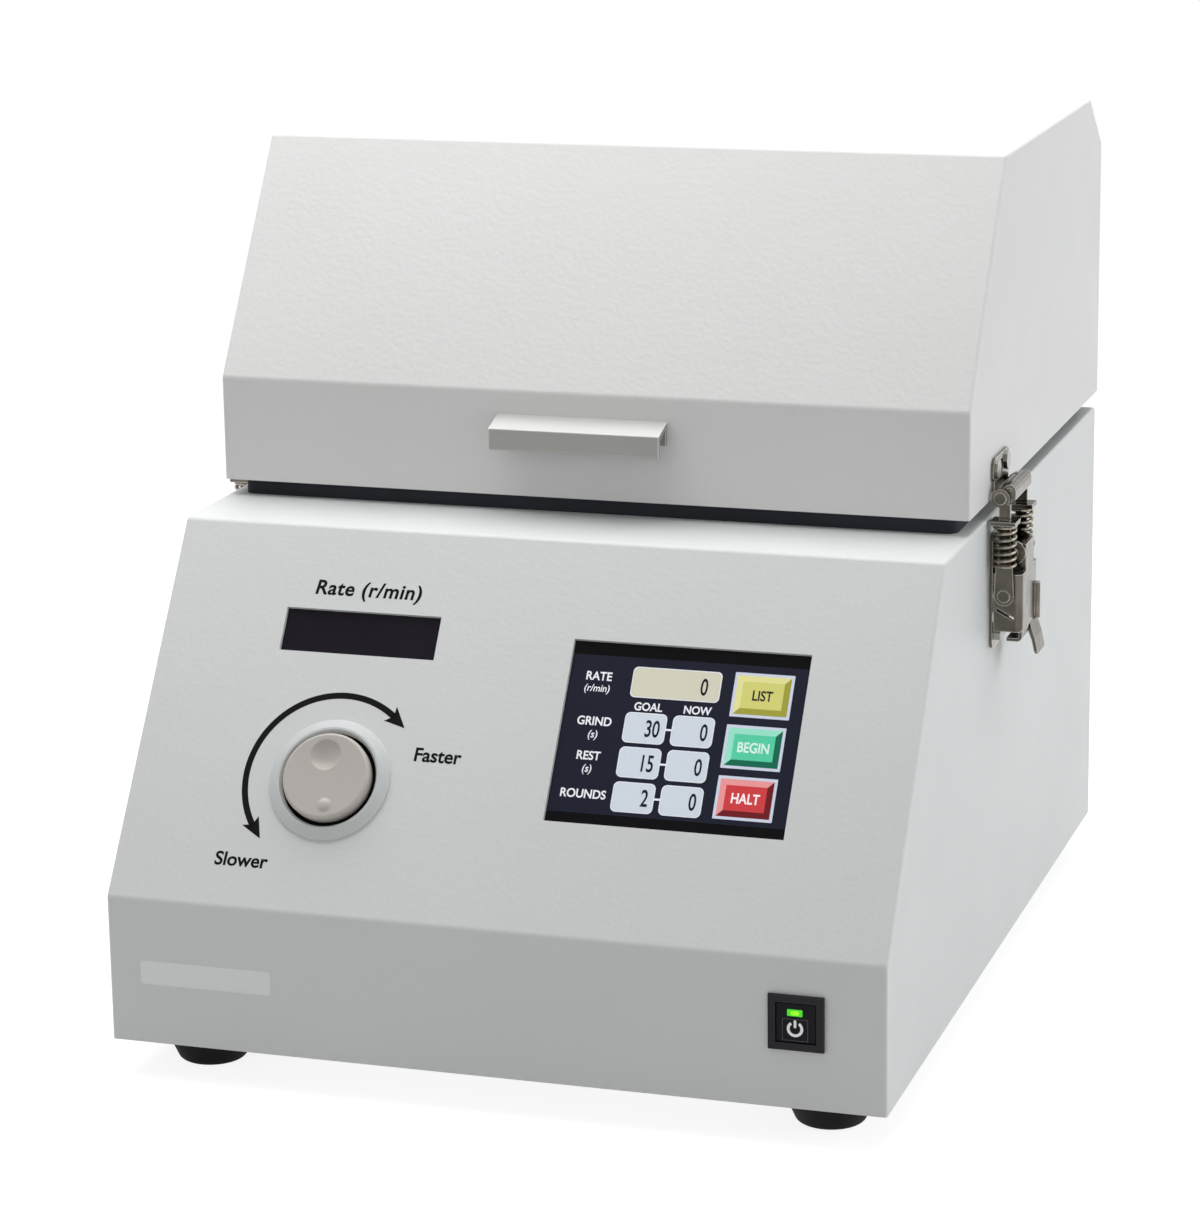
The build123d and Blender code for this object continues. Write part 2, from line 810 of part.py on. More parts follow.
lever_out = lever_web + latch_plate
with BuildPart() as latch_lever:
    channel = section_profile(
        (lever_inner, lever_low), (lever_out, lever_low), (lever_out, lever_high), (lever_inner, lever_high)
    )
    across(half_latch - latch_plate, half_latch, channel)
    web = section_profile(
        (lever_web, lever_low), (lever_out, lever_low), (lever_out, lever_high), (lever_web, lever_high)
    )
    across(0, half_latch, web)
    fillet(edges().filter_by(Axis.Z).sort_by(Axis.X)[-2:], lever_fold)
    neck_top = latch_pivot[1] + 3.0
    neck_web = section_profile(
        (lever_web, lever_high), (lever_out, lever_high), (lever_out, neck_top), (lever_web, neck_top)
    )
    across(0, neck_outer, neck_web)
    neck_ear = section_hull(
        latch_pivot,
        3.4,
        (lever_out - 0.1, neck_top - 0.1),
        (lever_out - 0.1, lever_high - 0.9),
    )
    across(neck_outer - latch_plate, neck_outer, neck_ear)
    # Rivet through both ears
    across(0, ear_outer + 0.35, section_disc(latch_pivot, latch_pin_radius))
    # Holes for the link rivets and the lanced slot under them
    rivet_hole = section_disc(latch_rivet, latch_pin_radius + latch_pin_play)
    across(half_latch - 2 * latch_plate, half_latch + 1, rivet_hole, Mode.SUBTRACT)
    slot_high = latch_rivet[1] - 4.7
    slot_end = latch_rivet[1] - 7.9
    slot = section_profile((2.6, slot_high), (8.8, slot_end), (8.4, slot_end - 0.8), (2.6, slot_high - 1.1))
    across(half_latch - 2 * latch_plate, half_latch + 1, slot, Mode.SUBTRACT)
    # Turned-in foot on one half, finger tongue on the other
    foot_turn = section_profile(
        (lever_web, lever_low + 0.5),
        (lever_out, lever_low + 0.5),
        (lever_out, lever_low - 2.0),
        (lever_out - 0.5, lever_low - 3.0),
        (lever_out - 1.5, lever_low - 3.5),
        (6.0, lever_low - 3.5),
        (6.0, lever_low - 2.3),
        (lever_web, lever_low - 2.3),
    )
    extrude(foot_turn.moved(Location((0, -12.0, 0))), amount=-11.0)
    tongue_middle = (lever_web + tongue_reach) / 2
    tongue = section_profile(
        (lever_web, lever_low + 0.5),
        (lever_out, lever_low + 0.5),
        (tongue_middle + 1.0, (lever_low + tongue_low) / 2 + 0.4),
        (tongue_reach, tongue_low + 0.3),
        (tongue_reach - 1.2, tongue_low),
        (tongue_middle - 0.2, (lever_low + tongue_low) / 2 - 0.4),
        (lever_web, lever_low - 1.0),
    )
    tongue_side = 0.8
    tongue_width = 12.0
    extrude(tongue.moved(Location((0, tongue_side, 0))), amount=-tongue_width)
    # The tongue's two lower corners are rounded
    tongue_ends = edges().filter_by_position(Axis.Z, top_z + tongue_low - 0.1, top_z + tongue_low + 0.5)
    chamfer([edge for edge in tongue_ends if edge.length < 2.0 and abs(edge.tangent_at(0.5).Y) < 0.1], 0.9)
    tube_place = Plane(
        (half_width + lever_out + 0.3, side.origin.Y + half_latch - 2.2, top_z + lever_low - 0.4)
    )
    prism(tube_place, lever_tube_radius, lever_tube_length, small_sides)
finish_pair(latch_lever, "latch_lever")

link_inner = half_latch + link_gap
link_outer = link_inner + latch_plate
link_middle = (link_inner + link_outer) / 2
spring_x = latch_rivet[0]
with BuildPart() as latch_hook:
    link = section_hull(latch_rivet, 3.5, (spring_x - 2.9, spring_low - 0.3), (spring_x + 2.9, spring_low - 0.3))
    across(link_inner, link_outer, link)
    neck = section_profile(
        (spring_x - 2.0, spring_low - 1), (spring_x + 2.0, spring_low - 1),
        (spring_x + 2.0, hook_rivet[1] - 2), (spring_x - 2.0, hook_rivet[1] - 2),
    )
    across(link_inner, link_outer, neck)
    across(link_inner, link_outer, section_head(hook_rivet, eye_radius))
    seat_out = spring_radius + spring_wire / 2 + 0.1
    seat = section_profile(
        (spring_x - seat_out, spring_high), (spring_x + seat_out, spring_high),
        (spring_x + seat_out, spring_high + seat_height), (spring_x - seat_out, spring_high + seat_height),
    )
    across(link_middle - seat_out + 0.5, link_middle + seat_out - 0.5, seat)
    # Rivets at the lever and at the claw
    across(half_latch - latch_plate - 0.6, link_outer, section_disc(latch_rivet, latch_pin_radius))
    across(half_latch - 1.4, link_outer, section_head(hook_rivet, latch_pin_radius))
    for place in (latch_rivet, hook_rivet):
        across(link_outer, link_outer + rivet_head, section_head(place, rivet_head_radius))
    # Claw: two cheeks and a web that turns over the keeper's lip
    cheek = section_hull(hook_rivet, eye_radius, (claw_web, claw_top), (claw_web, claw_web_low))
    across(half_latch - latch_plate, half_latch, cheek)
    half_plate = latch_plate / 2
    claw_radius = (claw_web - claw_tip) / 2
    claw_centre = ((claw_web + claw_tip) / 2, claw_top)
    claw = section_profile(
        (claw_web + half_plate, claw_web_low),
        *bend_points(claw_centre, claw_radius + half_plate, 0, 180),
        (claw_tip - half_plate, claw_top - claw_tip_drop),
        (claw_tip + half_plate, claw_top - claw_tip_drop),
        *bend_points(claw_centre, claw_radius - half_plate, 180, 0),
        (claw_web - half_plate, claw_web_low),
    )
    across(0, half_latch, claw)
finish_pair(latch_hook, "latch_hook")

with BuildPart() as latch_springs:
    spring_length = spring_high - spring_low - spring_wire - 0.1
    for end in (-link_middle, link_middle):
        base = Plane(
            (half_width + spring_x, side.origin.Y + end, top_z + spring_low + spring_wire / 2 + 0.05)
        )
        steps = int(spring_turns * coil_sides)
        with BuildPart(mode=Mode.PRIVATE) as spring:
            with BuildLine() as coil:
                Polyline(
                    *[
                        (
                            spring_radius * cos(2 * pi * step / coil_sides),
                            spring_radius * sin(2 * pi * step / coil_sides),
                            spring_length * step / steps,
                        )
                        for step in range(steps + 1)
                    ]
                )
            start = coil.wires()[0]
            with BuildSketch(Plane(origin=start @ 0, z_dir=start % 0)):
                RegularPolygon(spring_wire / 2, 4)
            sweep(path=start, transition=Transition.RIGHT)
        with Locations(base.location):
            add(spring.part)
finish_pair(latch_springs, "latch_springs")

with BuildPart() as keeper:
    lip_radius = (keeper_lip - half_plate) / 2
    lip_centre = (half_plate + lip_radius, keeper_low)
    lip_top = keeper_low + keeper_lip_rise
    with BuildSketch(side) as plate:
        with Locations((0, (keeper_shoulder + keeper_high) / 2)):
            RectangleRounded(latch_width, keeper_plate, keeper_corner)
        with Locations((0, (keeper_low + keeper_shoulder + keeper_corner) / 2)):
            Rectangle(latch_width - keeper_corner, keeper_shoulder + keeper_corner - keeper_low)
        with Locations((0, keeper_screw_z)):
            Rectangle(*keeper_slot, mode=Mode.SUBTRACT)
    extrude(plate.sketch, amount=latch_plate)
    lip = section_profile(
        (0, keeper_low + 1),
        *bend_points(lip_centre, lip_radius + half_plate, 180, 360),
        (keeper_lip + half_plate, lip_top),
        (keeper_lip - half_plate, lip_top),
        *bend_points(lip_centre, lip_radius - half_plate, 360, 180),
        (latch_plate, keeper_low + 1),
    )
    across(0, half_latch - keeper_corner / 2, lip)
    screw_holes(keeper_screws[:2], 2 * sheet)
finish_pair(keeper, "latch_keeper")

# ---------------------------------------------------------------- sloping panel fittings
with BuildPart() as touch_panel_body:
    seat = -sheet
    body_plane = on(panel, screen_centre, seat)
    body_size = (screen_opening[0] + 12.0, screen_opening[1] + 12.0)
    glass_size = (screen_opening[0] + 2 * screen_seat, screen_opening[1] + 2 * screen_seat)
    slab(body_plane.offset(-9.0), body_size, 9.0)
    slab(
        body_plane.offset(-screen_body_depth),
        (body_size[0] - 10.0, body_size[1] - 10.0),
        screen_body_depth - 9.0,
    )
    slab(
        body_plane.offset(-screen_glass - 0.1),
        (glass_size[0] + 0.3, glass_size[1] + 0.3),
        screen_glass + 0.1,
        mode=Mode.SUBTRACT,
    )
    for step in (-24.0, -8.0, 8.0, 24.0):
        with BuildSketch(body_plane.offset(-screen_body_depth)) as port:
            with Locations((step, -16.0)):
                Rectangle(11.0, 8.0)
        extrude(port.sketch, amount=5.0, mode=Mode.SUBTRACT)
finish(touch_panel_body, "touch_panel_body")

with BuildPart() as touch_screen:
    slab(body_plane.offset(-screen_glass - 0.05), glass_size, screen_glass)
finish(touch_screen, "touch_screen")

with BuildPart() as meter_body:
    meter_plane = on(panel, meter_centre, -sheet)
    meter_size = (meter_opening[0] + 4 * meter_lip, meter_opening[1] + 4 * meter_lip)
    lens_size = (meter_opening[0] + 2 * meter_lip, meter_opening[1] + 2 * meter_lip)
    slab(meter_plane.offset(-6.0), meter_size, 6.0)
    slab(meter_plane.offset(-meter_depth), (meter_size[0] - 6, meter_size[1] - 4), meter_depth - 6.0)
    slab(
        meter_plane.offset(-meter_lens - 0.1),
        (lens_size[0] + 0.3, lens_size[1] + 0.3),
        meter_lens + 0.1,
        mode=Mode.SUBTRACT,
    )
finish(meter_body, "meter_body")

with BuildPart() as meter_lens_window:
    slab(meter_plane.offset(-meter_lens - 0.05), lens_size, meter_lens)
finish(meter_lens_window, "meter_lens")

knob_plane = on(panel, knob_centre)
with BuildPart() as knob_bezel:
    bezel_inner = knob_radius + knob_gap
    prism(knob_plane, bezel_radius, bezel_edge, knob_sides)
    with BuildSketch(knob_plane.offset(bezel_edge)) as rim:
        RegularPolygon(bezel_radius, knob_sides)
    with BuildSketch(knob_plane.offset(bezel_height)) as lip:
        RegularPolygon(bezel_inner + bezel_lip, knob_sides)
    loft([rim.sketch, lip.sketch])
    prism(knob_plane.offset(-1.0), bezel_inner, bezel_height + 2.0, knob_sides, Mode.SUBTRACT)
finish(knob_bezel, "knob_bezel")

with BuildPart() as speed_knob:
    prism(knob_plane.offset(knob_lift), knob_radius, knob_rise, knob_sides)
    chamfer(edges().group_by(lambda edge: knob_plane.to_local_coords(edge.center()).Z)[-1], 0.8)
    prism(knob_plane.offset(knob_lift), knob_radius - knob_skirt, knob_rise - 2.2, knob_sides, Mode.SUBTRACT)
    knob_top = knob_lift + knob_rise
    shaft_end = -sheet - encoder_depth + 1.0
    disc(knob_plane.offset(shaft_end), encoder_shaft_radius, knob_top - 1.5 - shaft_end)
    dimple_at = (
        knob_centre[0] + dimple_place * cos(radians(dimple_angle)),
        knob_centre[1] + dimple_place * sin(radians(dimple_angle)),
    )
    dimple_depth = 1.2
    with BuildSketch(on(panel, dimple_at, knob_top)) as mouth:
        RegularPolygon(dimple_radius, round_sides)
    with BuildSketch(on(panel, dimple_at, knob_top - dimple_depth)) as hollow:
        RegularPolygon(dimple_radius / 2, round_sides)
    loft([hollow.sketch, mouth.sketch], mode=Mode.SUBTRACT)
    nub_at = (
        knob_centre[0] - nub_place * cos(radians(dimple_angle)),
        knob_centre[1] - nub_place * sin(radians(dimple_angle)),
    )
    prism(on(panel, nub_at, knob_top - 1.0), nub_radius, 1.0 + nub_height, 12)
finish(speed_knob, "speed_knob")

with BuildPart() as encoder:
    slab(knob_plane.offset(-sheet - encoder_depth), (encoder_size, encoder_size), encoder_depth)
    prism(knob_plane.offset(-sheet), encoder_bush_radius, sheet + encoder_nut_height + 0.5, round_sides)
    with BuildSketch(knob_plane) as nut:
        RegularPolygon(encoder_nut / 2, 6, major_radius=False)
    extrude(nut.sketch, amount=encoder_nut_height)
    prism(
        knob_plane.offset(-sheet - encoder_depth + 0.8),
        around(encoder_shaft_radius + run_play, round_sides),
        encoder_depth + sheet + 4.0,
        round_sides,
        Mode.SUBTRACT,
    )
finish(encoder, "encoder")

# ---------------------------------------------------------------- power switch
switch_plane = on(front, switch_centre)
button_room = button_size + 2 * button_play
with BuildPart() as power_switch:
    slab(switch_plane, (switch_size, switch_size), switch_proud)
    slab(switch_plane.offset(-switch_body_depth), (switch_body, switch_body), switch_body_depth)
    slab(
        switch_plane.offset(switch_proud - button_height - button_travel - 1.0),
        (button_room, button_room),
        button_height + button_travel + 2.0,
        mode=Mode.SUBTRACT,
    )
    for step in (-4.0, 4.0):
        slab(on(front, (switch_centre[0] + step, switch_centre[1]), -switch_body_depth - 6.0), (0.8, 4.8), 6.5)
finish(power_switch, "power_switch")

with BuildPart() as power_button:
    slab(switch_plane.offset(switch_proud - 0.4 - button_height), (button_size, button_size), button_height)
    chamfer(edges().group_by(Axis.Y)[0], 0.3)
finish(power_button, "power_button")

# ---------------------------------------------------------------- well and its drive
rim_z = top_z
with BuildPart() as milling_well:
    well_outer = (2 * (well_half_x + well_sheet), 2 * (well_half_y + well_sheet))
    well_depth = top_z - floor_z - well_floor + well_sheet
    slab(Plane((0, mill_y, rim_z - well_depth)), well_outer, well_depth, well_corner + well_sheet)
    offset(amount=-well_sheet, openings=faces().sort_by(Axis.Z)[-1])
    rim_outer = (well_outer[0] + 2 * well_rim, well_outer[1] + 2 * well_rim)
    well_inner = (2 * well_half_x, 2 * well_half_y)
    frame_of(
        Plane((0, mill_y, rim_z)), rim_outer, well_inner, well_sheet, well_corner + well_rim, well_corner
    )
    seal_plane = Plane((0, mill_y, floor_z + well_floor - well_sheet - 4.0))
    prism(seal_plane, seal_radius + 2.0, 4.0 + well_sheet, round_sides)
    holes([Plane((0, mill_y, floor_z + well_floor))], seal_radius, 2 * seal_height)
finish(milling_well, "milling_well")

with BuildPart() as shaft_seal:
    prism(seal_plane, seal_radius, seal_height - 1.5, round_sides)
    prism(Plane((0, mill_y, floor_z + well_floor)), seal_radius + 2.5, 1.3, round_sides)
    holes([seal_plane], shaft_radius + run_play, 2 * seal_height)
finish(shaft_seal, "shaft_seal")

plate_z = floor_z + mount_plate_height
with BuildPart() as motor_plate:
    slab(Plane((0, mill_y, plate_z)), mount_plate, mount_plate_thickness)
    boss_hole = Plane((0, mill_y, plate_z - 1))
    prism(boss_hole, motor_boss_radius + hole_play, mount_plate_thickness + 2, round_sides, Mode.SUBTRACT)
finish(motor_plate, "motor_plate")

with BuildPart() as motor_body:
    motor_low = plate_z - motor_flange_height - motor_height
    prism(Plane((0, mill_y, motor_low)), motor_radius, motor_height, 2 * round_sides)
    slab(
        Plane((0, mill_y, plate_z - motor_flange_height)),
        (motor_flange, motor_flange),
        motor_flange_height,
    )
    prism(Plane((0, mill_y, plate_z)), motor_boss_radius, mount_plate_thickness, round_sides)
    shaft_low = plate_z - 22.0
    disc(
        Plane((0, mill_y, shaft_low - 1.0)), shaft_radius + run_play, plate_z - shaft_low + 10.0, Mode.SUBTRACT
    )
finish(motor_body, "motor_body")

with BuildPart() as motor_pillars:
    for x, y in pillar_places:
        with BuildSketch(Plane((x, y, floor_z + sheet))) as pillar:
            RegularPolygon(pillar_radius, 6)
        extrude(pillar.sketch, amount=mount_plate_height - rubber_height - sheet)
finish(motor_pillars, "motor_pillars")

with BuildPart() as motor_mounts:
    for x, y in pillar_places:
        prism(Plane((x, y, plate_z - rubber_height)), rubber_radius, rubber_height, round_sides)
finish(motor_mounts, "motor_mounts")

with BuildPart() as motor_shaft:
    disc(Plane((0, mill_y, shaft_low)), shaft_radius, floor_z + shaft_top - shaft_low)
finish(motor_shaft, "motor_shaft")

with BuildPart() as drive_hub:
    disc(tilted.offset(-journal_half), journal_radius, 2 * journal_half)
    prism(tilted.offset(-journal_half - shoulder_height), shoulder_radius, shoulder_height, round_sides)
    prism(Plane((0, mill_y, floor_z + collar_low)), collar_radius, 13.0, round_sides)
    with BuildSketch(Plane((0, mill_y, floor_z + collar_low))) as balance:
        RegularPolygon(balance_radius, 2 * round_sides)
        with Locations((0, -balance_radius)):
            Rectangle(2 * balance_radius, 2 * balance_radius, mode=Mode.SUBTRACT)
    extrude(balance.sketch, amount=balance_height)
    shaft_hole = Plane((0, mill_y, floor_z + collar_low - 1.0))
    prism(
        shaft_hole, around(shaft_radius, round_sides), shaft_top - collar_low + 1.2, round_sides, Mode.SUBTRACT
    )
finish(drive_hub, "drive_hub")

race_planes = [tilted.offset(place - race_width / 2) for place in (-race_place, race_place)]
with BuildPart() as bearing_inner_rings:
    for plane in race_planes:
        ring(plane, journal_radius + race_inner, around(journal_radius, round_sides), race_width)
finish(bearing_inner_rings, "bearing_inner_rings")

with BuildPart() as bearing_outer_rings:
    shield_radius = around(journal_radius + race_inner + shield_play, round_sides)
    for plane in race_planes:
        ring(plane, race_outer, shield_radius, race_width)
finish(bearing_outer_rings, "bearing_outer_rings")

# ---------------------------------------------------------------- jar holder and jars
jar_angles = [90.0 + turn * 360.0 / jar_count for turn in range(jar_count)]
jar_places = [
    (jar_circle * cos(radians(angle)), jar_circle * sin(radians(angle))) for angle in jar_angles
]
cup_radius = jar_radius + cup_wall
jar_low = cup_bottom + cup_floor
jar_top = jar_low + jar_height
with BuildPart() as jar_holder:
    prism(tilted.offset(holder_top - holder_plate), holder_radius, holder_plate, 2 * round_sides)
    prism(tilted.offset(-bearing_house_half), bearing_house_radius, 2 * bearing_house_half, round_sides)
    for place in jar_places:
        prism(on(tilted, place, cup_bottom), cup_radius, cup_top - cup_bottom, round_sides)
    with BuildSketch(tilted.offset(holder_top - holder_plate - 10.0)) as ribs:
        with PolarLocations((bearing_house_radius + holder_radius) / 2 - 1.0, jar_count, start_angle=30.0):
            Rectangle(holder_radius - bearing_house_radius, 4.0)
    extrude(ribs.sketch, amount=10.5)
    arm_from = holder_radius - 8.0
    slab(
        on(tilted, ((arm_from + arm_reach) / 2, 0), holder_top - holder_plate),
        (arm_reach - arm_from, arm_width),
        holder_plate,
    )
    for place in jar_places:
        prism(on(tilted, place, jar_low), jar_radius + 0.1, jar_height, round_sides, Mode.SUBTRACT)
    bore = tilted.offset(-bearing_house_half - 1.0)
    prism(bore, race_outer, 2 * bearing_house_half + 2.0, round_sides, Mode.SUBTRACT)
    arm_hole = Plane(
        origin=tilted.from_local_coords((arm_reach, 0, holder_top - holder_plate / 2)),
        x_dir=(0, 1, 0),
        z_dir=(1, 0, 0),
    )
    prism(arm_hole.offset(-9.0), roller_pin_radius, 10.0, small_sides, Mode.SUBTRACT)
finish(jar_holder, "jar_holder")

with BuildPart() as guide_roller:
    prism(arm_hole.offset(-8.5), roller_pin_radius, 8.5 + roller_start - arm_reach, small_sides)
    prism(arm_hole.offset(roller_start - arm_reach), roller_radius, roller_length, round_sides)
finish(guide_roller, "guide_roller")

with BuildPart() as guide_fork:
    roller_z = arm_hole.origin.Z
    fork_centre = Plane(
        origin=(well_half_x, mill_y, roller_z), x_dir=(0, 1, 0), z_dir=(-1, 0, 0)
    )
    slab(fork_centre, (34.0, 2 * fork_half_height + 6), fork_plate, 3.0)
    jaw_centre = roller_radius + fork_gap + fork_jaw / 2
    for end in (-jaw_centre, jaw_centre):
        slab(
            on(fork_centre, (end, 0)),
            (fork_jaw, 2 * fork_half_height),
            well_half_x - roller_start + 0.4,
        )
finish(guide_fork, "guide_fork")

with BuildPart() as clamp_stud:
    prism(tilted.offset(bearing_house_half), bearing_house_radius - 1.0, stud_flange, round_sides)
    disc(tilted.offset(bearing_house_half), stud_radius, stud_top - bearing_house_half)
finish(clamp_stud, "clamp_stud")

with BuildPart() as jars:
    for place in jar_places:
        prism(on(tilted, place, jar_low), jar_radius, jar_height, round_sides)
        hollow = on(tilted, place, jar_low + jar_floor)
        prism(hollow, jar_radius - jar_wall, jar_height, round_sides, Mode.SUBTRACT)
finish(jars, "jars")

cap_low = jar_top - cap_overlap
with BuildPart() as jar_caps:
    for place in jar_places:
        prism(on(tilted, place, cap_low), cap_radius, cap_overlap + cap_head, cap_grips)
        prism(on(tilted, place, cap_low), jar_radius + 0.05, cap_overlap, round_sides, Mode.SUBTRACT)
finish(jar_caps, "jar_caps")

clamp_low = jar_top + cap_head + clamp_gap
with BuildPart() as clamp_plate:
    for place in jar_places:
        with BuildSketch(tilted.offset(clamp_low)) as arm:
            RegularPolygon(clamp_arm_radius + 4.0, round_sides)
            with Locations(place):
                RegularPolygon(clamp_arm_radius, round_sides)
            make_hull()
        extrude(arm.sketch, amount=clamp_thickness)
    stud_hole = around(stud_radius + run_play, round_sides)
    prism(tilted.offset(clamp_low - 1.0), stud_hole, clamp_thickness + 2.0, round_sides, Mode.SUBTRACT)
finish(clamp_plate, "clamp_plate")

with BuildPart() as clamp_knob:
    knob_low = clamp_low + clamp_thickness + clamp_gap
    prism(tilted.offset(knob_low), 11.0, 4.0, round_sides)
    with BuildSketch(tilted.offset(knob_low + 4.0)) as star:
        RegularPolygon(clamp_knob_radius - 5.5, round_sides)
        with PolarLocations(clamp_knob_radius - 6.0, knob_lobes):
            RegularPolygon(6.0, 10)
    extrude(star.sketch, amount=clamp_knob_height - 4.0)
    prism(tilted.offset(knob_low - 1.0), stud_hole, stud_top - knob_low + 2.0, round_sides, Mode.SUBTRACT)
finish(clamp_knob, "clamp_knob")

# ---------------------------------------------------------------- rear fittings
inside = -sheet
with BuildPart() as fan_frame:
    fan_plane = fan_mouth.offset(inside - fan_thickness)
    slab(fan_plane, (fan_size, fan_size), fan_thickness)
    prism(fan_plane.offset(-1), fan_bore, fan_thickness + 2, 2 * round_sides, Mode.SUBTRACT)
    screw_holes([on(fan_plane, place) for place in fan_corners], 2 * fan_thickness)
    prism(fan_plane, fan_hub, 2.0, round_sides)
    with BuildSketch(fan_plane) as struts:
        with PolarLocations((fan_hub + fan_bore) / 2, 4, start_angle=45):
            Rectangle(fan_bore - fan_hub + 2.0, 3.0)
    extrude(struts.sketch, amount=2.0)
    disc(fan_plane.offset(2.0), 1.5, 8.0)
finish(fan_frame, "fan_frame")

with BuildPart() as fan_rotor:
    rotor_plane = fan_plane.offset(3.0)
    rotor_height = fan_thickness - 4.0
    prism(rotor_plane, fan_hub, rotor_height, round_sides)
    blade_inner = fan_hub - 1.0
    blade_outer = fan_bore - fan_play
    with BuildPart(mode=Mode.PRIVATE) as blade:
        with BuildSketch(Plane((0, 0, 0.5))):
            with Locations(((blade_inner + blade_outer) / 2, -3.2)):
                Rectangle(blade_outer - blade_inner, 1.3)
        with BuildSketch(Plane((0, 0, rotor_height - 0.5))):
            with Locations(((blade_inner + blade_outer) / 2 - 0.8, 3.6)):
                Rectangle(blade_outer - blade_inner - 1.2, 1.3)
        loft()
    with Locations(rotor_plane.location):
        with PolarLocations(0, fan_blades):
            add(blade.part)
    disc(rotor_plane.offset(-0.5), 1.55, rotor_height - 1.0, Mode.SUBTRACT)
finish(fan_rotor, "fan_rotor")

with BuildPart() as fan_guard:
    guard_plane = fan_mouth.offset(guard_stand - guard_wire)
    for radius in (10.0, 20.0, 30.0):
        with BuildSketch(guard_plane) as loop:
            RegularPolygon(radius + guard_wire / 2, round_sides)
            RegularPolygon(radius - guard_wire / 2, round_sides, mode=Mode.SUBTRACT)
        extrude(loop.sketch, amount=guard_wire)
    with BuildSketch(guard_plane) as spokes:
        with PolarLocations(fan_step * 2**0.5 / 2 + 2.0, 4, start_angle=45):
            Rectangle(fan_step * 2**0.5 + 1.0, guard_wire * 1.3)
    extrude(spokes.sketch, amount=guard_wire)
    for place in fan_corners:
        prism(on(fan_mouth, place), 3.6, guard_stand, screw_sides)
    screw_holes([on(fan_mouth, place) for place in fan_corners], 2 * guard_stand)
finish(fan_guard, "fan_guard")

with BuildPart() as power_inlet:
    slab(inlet_mouth, inlet_flange, inlet_flange_thickness, 3.0)
    slab(inlet_mouth.offset(-inlet_depth), inlet_body, inlet_depth)
    socket_plane = on(inlet_mouth, (0, socket_rise))
    with BuildSketch(socket_plane.offset(inlet_flange_thickness - socket_depth)) as socket:
        Rectangle(*socket_size)
        chamfer(socket.vertices().group_by(Axis.Y)[-1], 3.5)
    extrude(socket.sketch, amount=socket_depth + 1, mode=Mode.SUBTRACT)
    for x, z, size in ((-7.0, -1.5, (2.0, 4.0)), (7.0, -1.5, (2.0, 4.0)), (0.0, 3.0, (2.0, 4.0))):
        slab(
            on(inlet_mouth, (x, socket_rise + z), inlet_flange_thickness - socket_depth - 0.5),
            size,
            socket_depth - 3.0,
        )
    drawer_plane = on(inlet_mouth, (0, -drawer_drop))
    drawer_room = (drawer_size[0] + 2 * drawer_play, drawer_size[1] + 2 * drawer_play)
    slab(
        drawer_plane.offset(inlet_flange_thickness - drawer_depth - 0.5),
        drawer_room,
        drawer_depth + 1.5,
        0.0,
        Mode.SUBTRACT,
    )
finish(power_inlet, "power_inlet")

with BuildPart() as fuse_drawer:
    slab(drawer_plane.offset(inlet_flange_thickness - drawer_depth), drawer_size, drawer_depth)
    slab(
        on(drawer_plane, (0, 1.5), inlet_flange_thickness - 1.5),
        (8.0, 2.6),
        1.6,
        0.0,
        Mode.SUBTRACT,
    )
    for x in (-5.0, 5.0):
        slab(
            on(drawer_plane, (x, 0.8), inlet_flange_thickness - drawer_depth - 1.0),
            (5.6, drawer_size[1] - 1.0),
            drawer_depth - 3.0,
            0.0,
            Mode.SUBTRACT,
        )
finish(fuse_drawer, "fuse_drawer")

# ---------------------------------------------------------------- electronics
with BuildPart() as power_supply:
    low = floor_z + sheet
    supply_plane = Plane((supply_place[0], front_y + supply_place[1], low))
    slab(supply_plane, supply_size[:2], supply_size[2], 0.0)
    with BuildSketch(supply_plane.offset(supply_size[2] - 1.2)) as grille:
        with GridLocations(0, 10.0, 1, 11):
            Rectangle(46.0, 4.0)
    extrude(grille.sketch, amount=2.0, mode=Mode.SUBTRACT)
    slab(
        Plane((supply_place[0], front_y + supply_place[1] - supply_size[1] / 2 + 5.0, low + supply_size[2] / 2)),
        (supply_size[0] - 8.0, 12.0),
        supply_size[2],
        0.0,
        Mode.SUBTRACT,
    )
finish(power_supply, "power_supply")

with BuildPart() as control_board:
    low = floor_z + sheet
    board_centre = (board_place[0], front_y + board_place[1])
    deck = Plane((*board_centre, low + board_rise))
    slab(deck, board_size, board_thickness)
    for x in (-board_size[0] / 2 + 6, board_size[0] / 2 - 6):
        for y in (-board_size[1] / 2 + 6, board_size[1] / 2 - 6):
            prism(Plane((board_centre[0] + x, board_centre[1] + y, low)), 3.0, board_rise, 6)
    top = board_thickness
    slab(on(deck, (-20, 8), top), (16.0, 16.0), 2.0)
    slab(on(deck, (26, 24), top), (30.0, 12.0), 11.0)
    for step in range(4):
        slab(on(deck, (-39 + 13 * step, -34), top), (10.0, 7.0), 9.0)
    for step in range(3):
        prism(on(deck, (14 + 13 * step, -14), top), 5.0, 14.0, 8)
    for step in range(6):
        slab(on(deck, (-44 + 4 * step, 30), top), (1.6, 16.0), 12.0)
finish(control_board, "control_board")

sensor_y = front_y + sensor_place[1]
with BuildPart() as lid_sensor:
    slab(
        Plane((sensor_place[0], sensor_y, top_z - sheet - sensor_size[2])), sensor_size[:2], sensor_size[2]
    )
finish(lid_sensor, "lid_sensor")

with BuildPart() as lid_magnet:
    magnet_y = lid_front_y + lid_sheet + lid_return - magnet_size[1] / 2 - 0.5
    slab(Plane((sensor_place[0], magnet_y, lid_bottom + lid_sheet)), magnet_size[:2], magnet_size[2])
finish(lid_magnet, "lid_magnet")

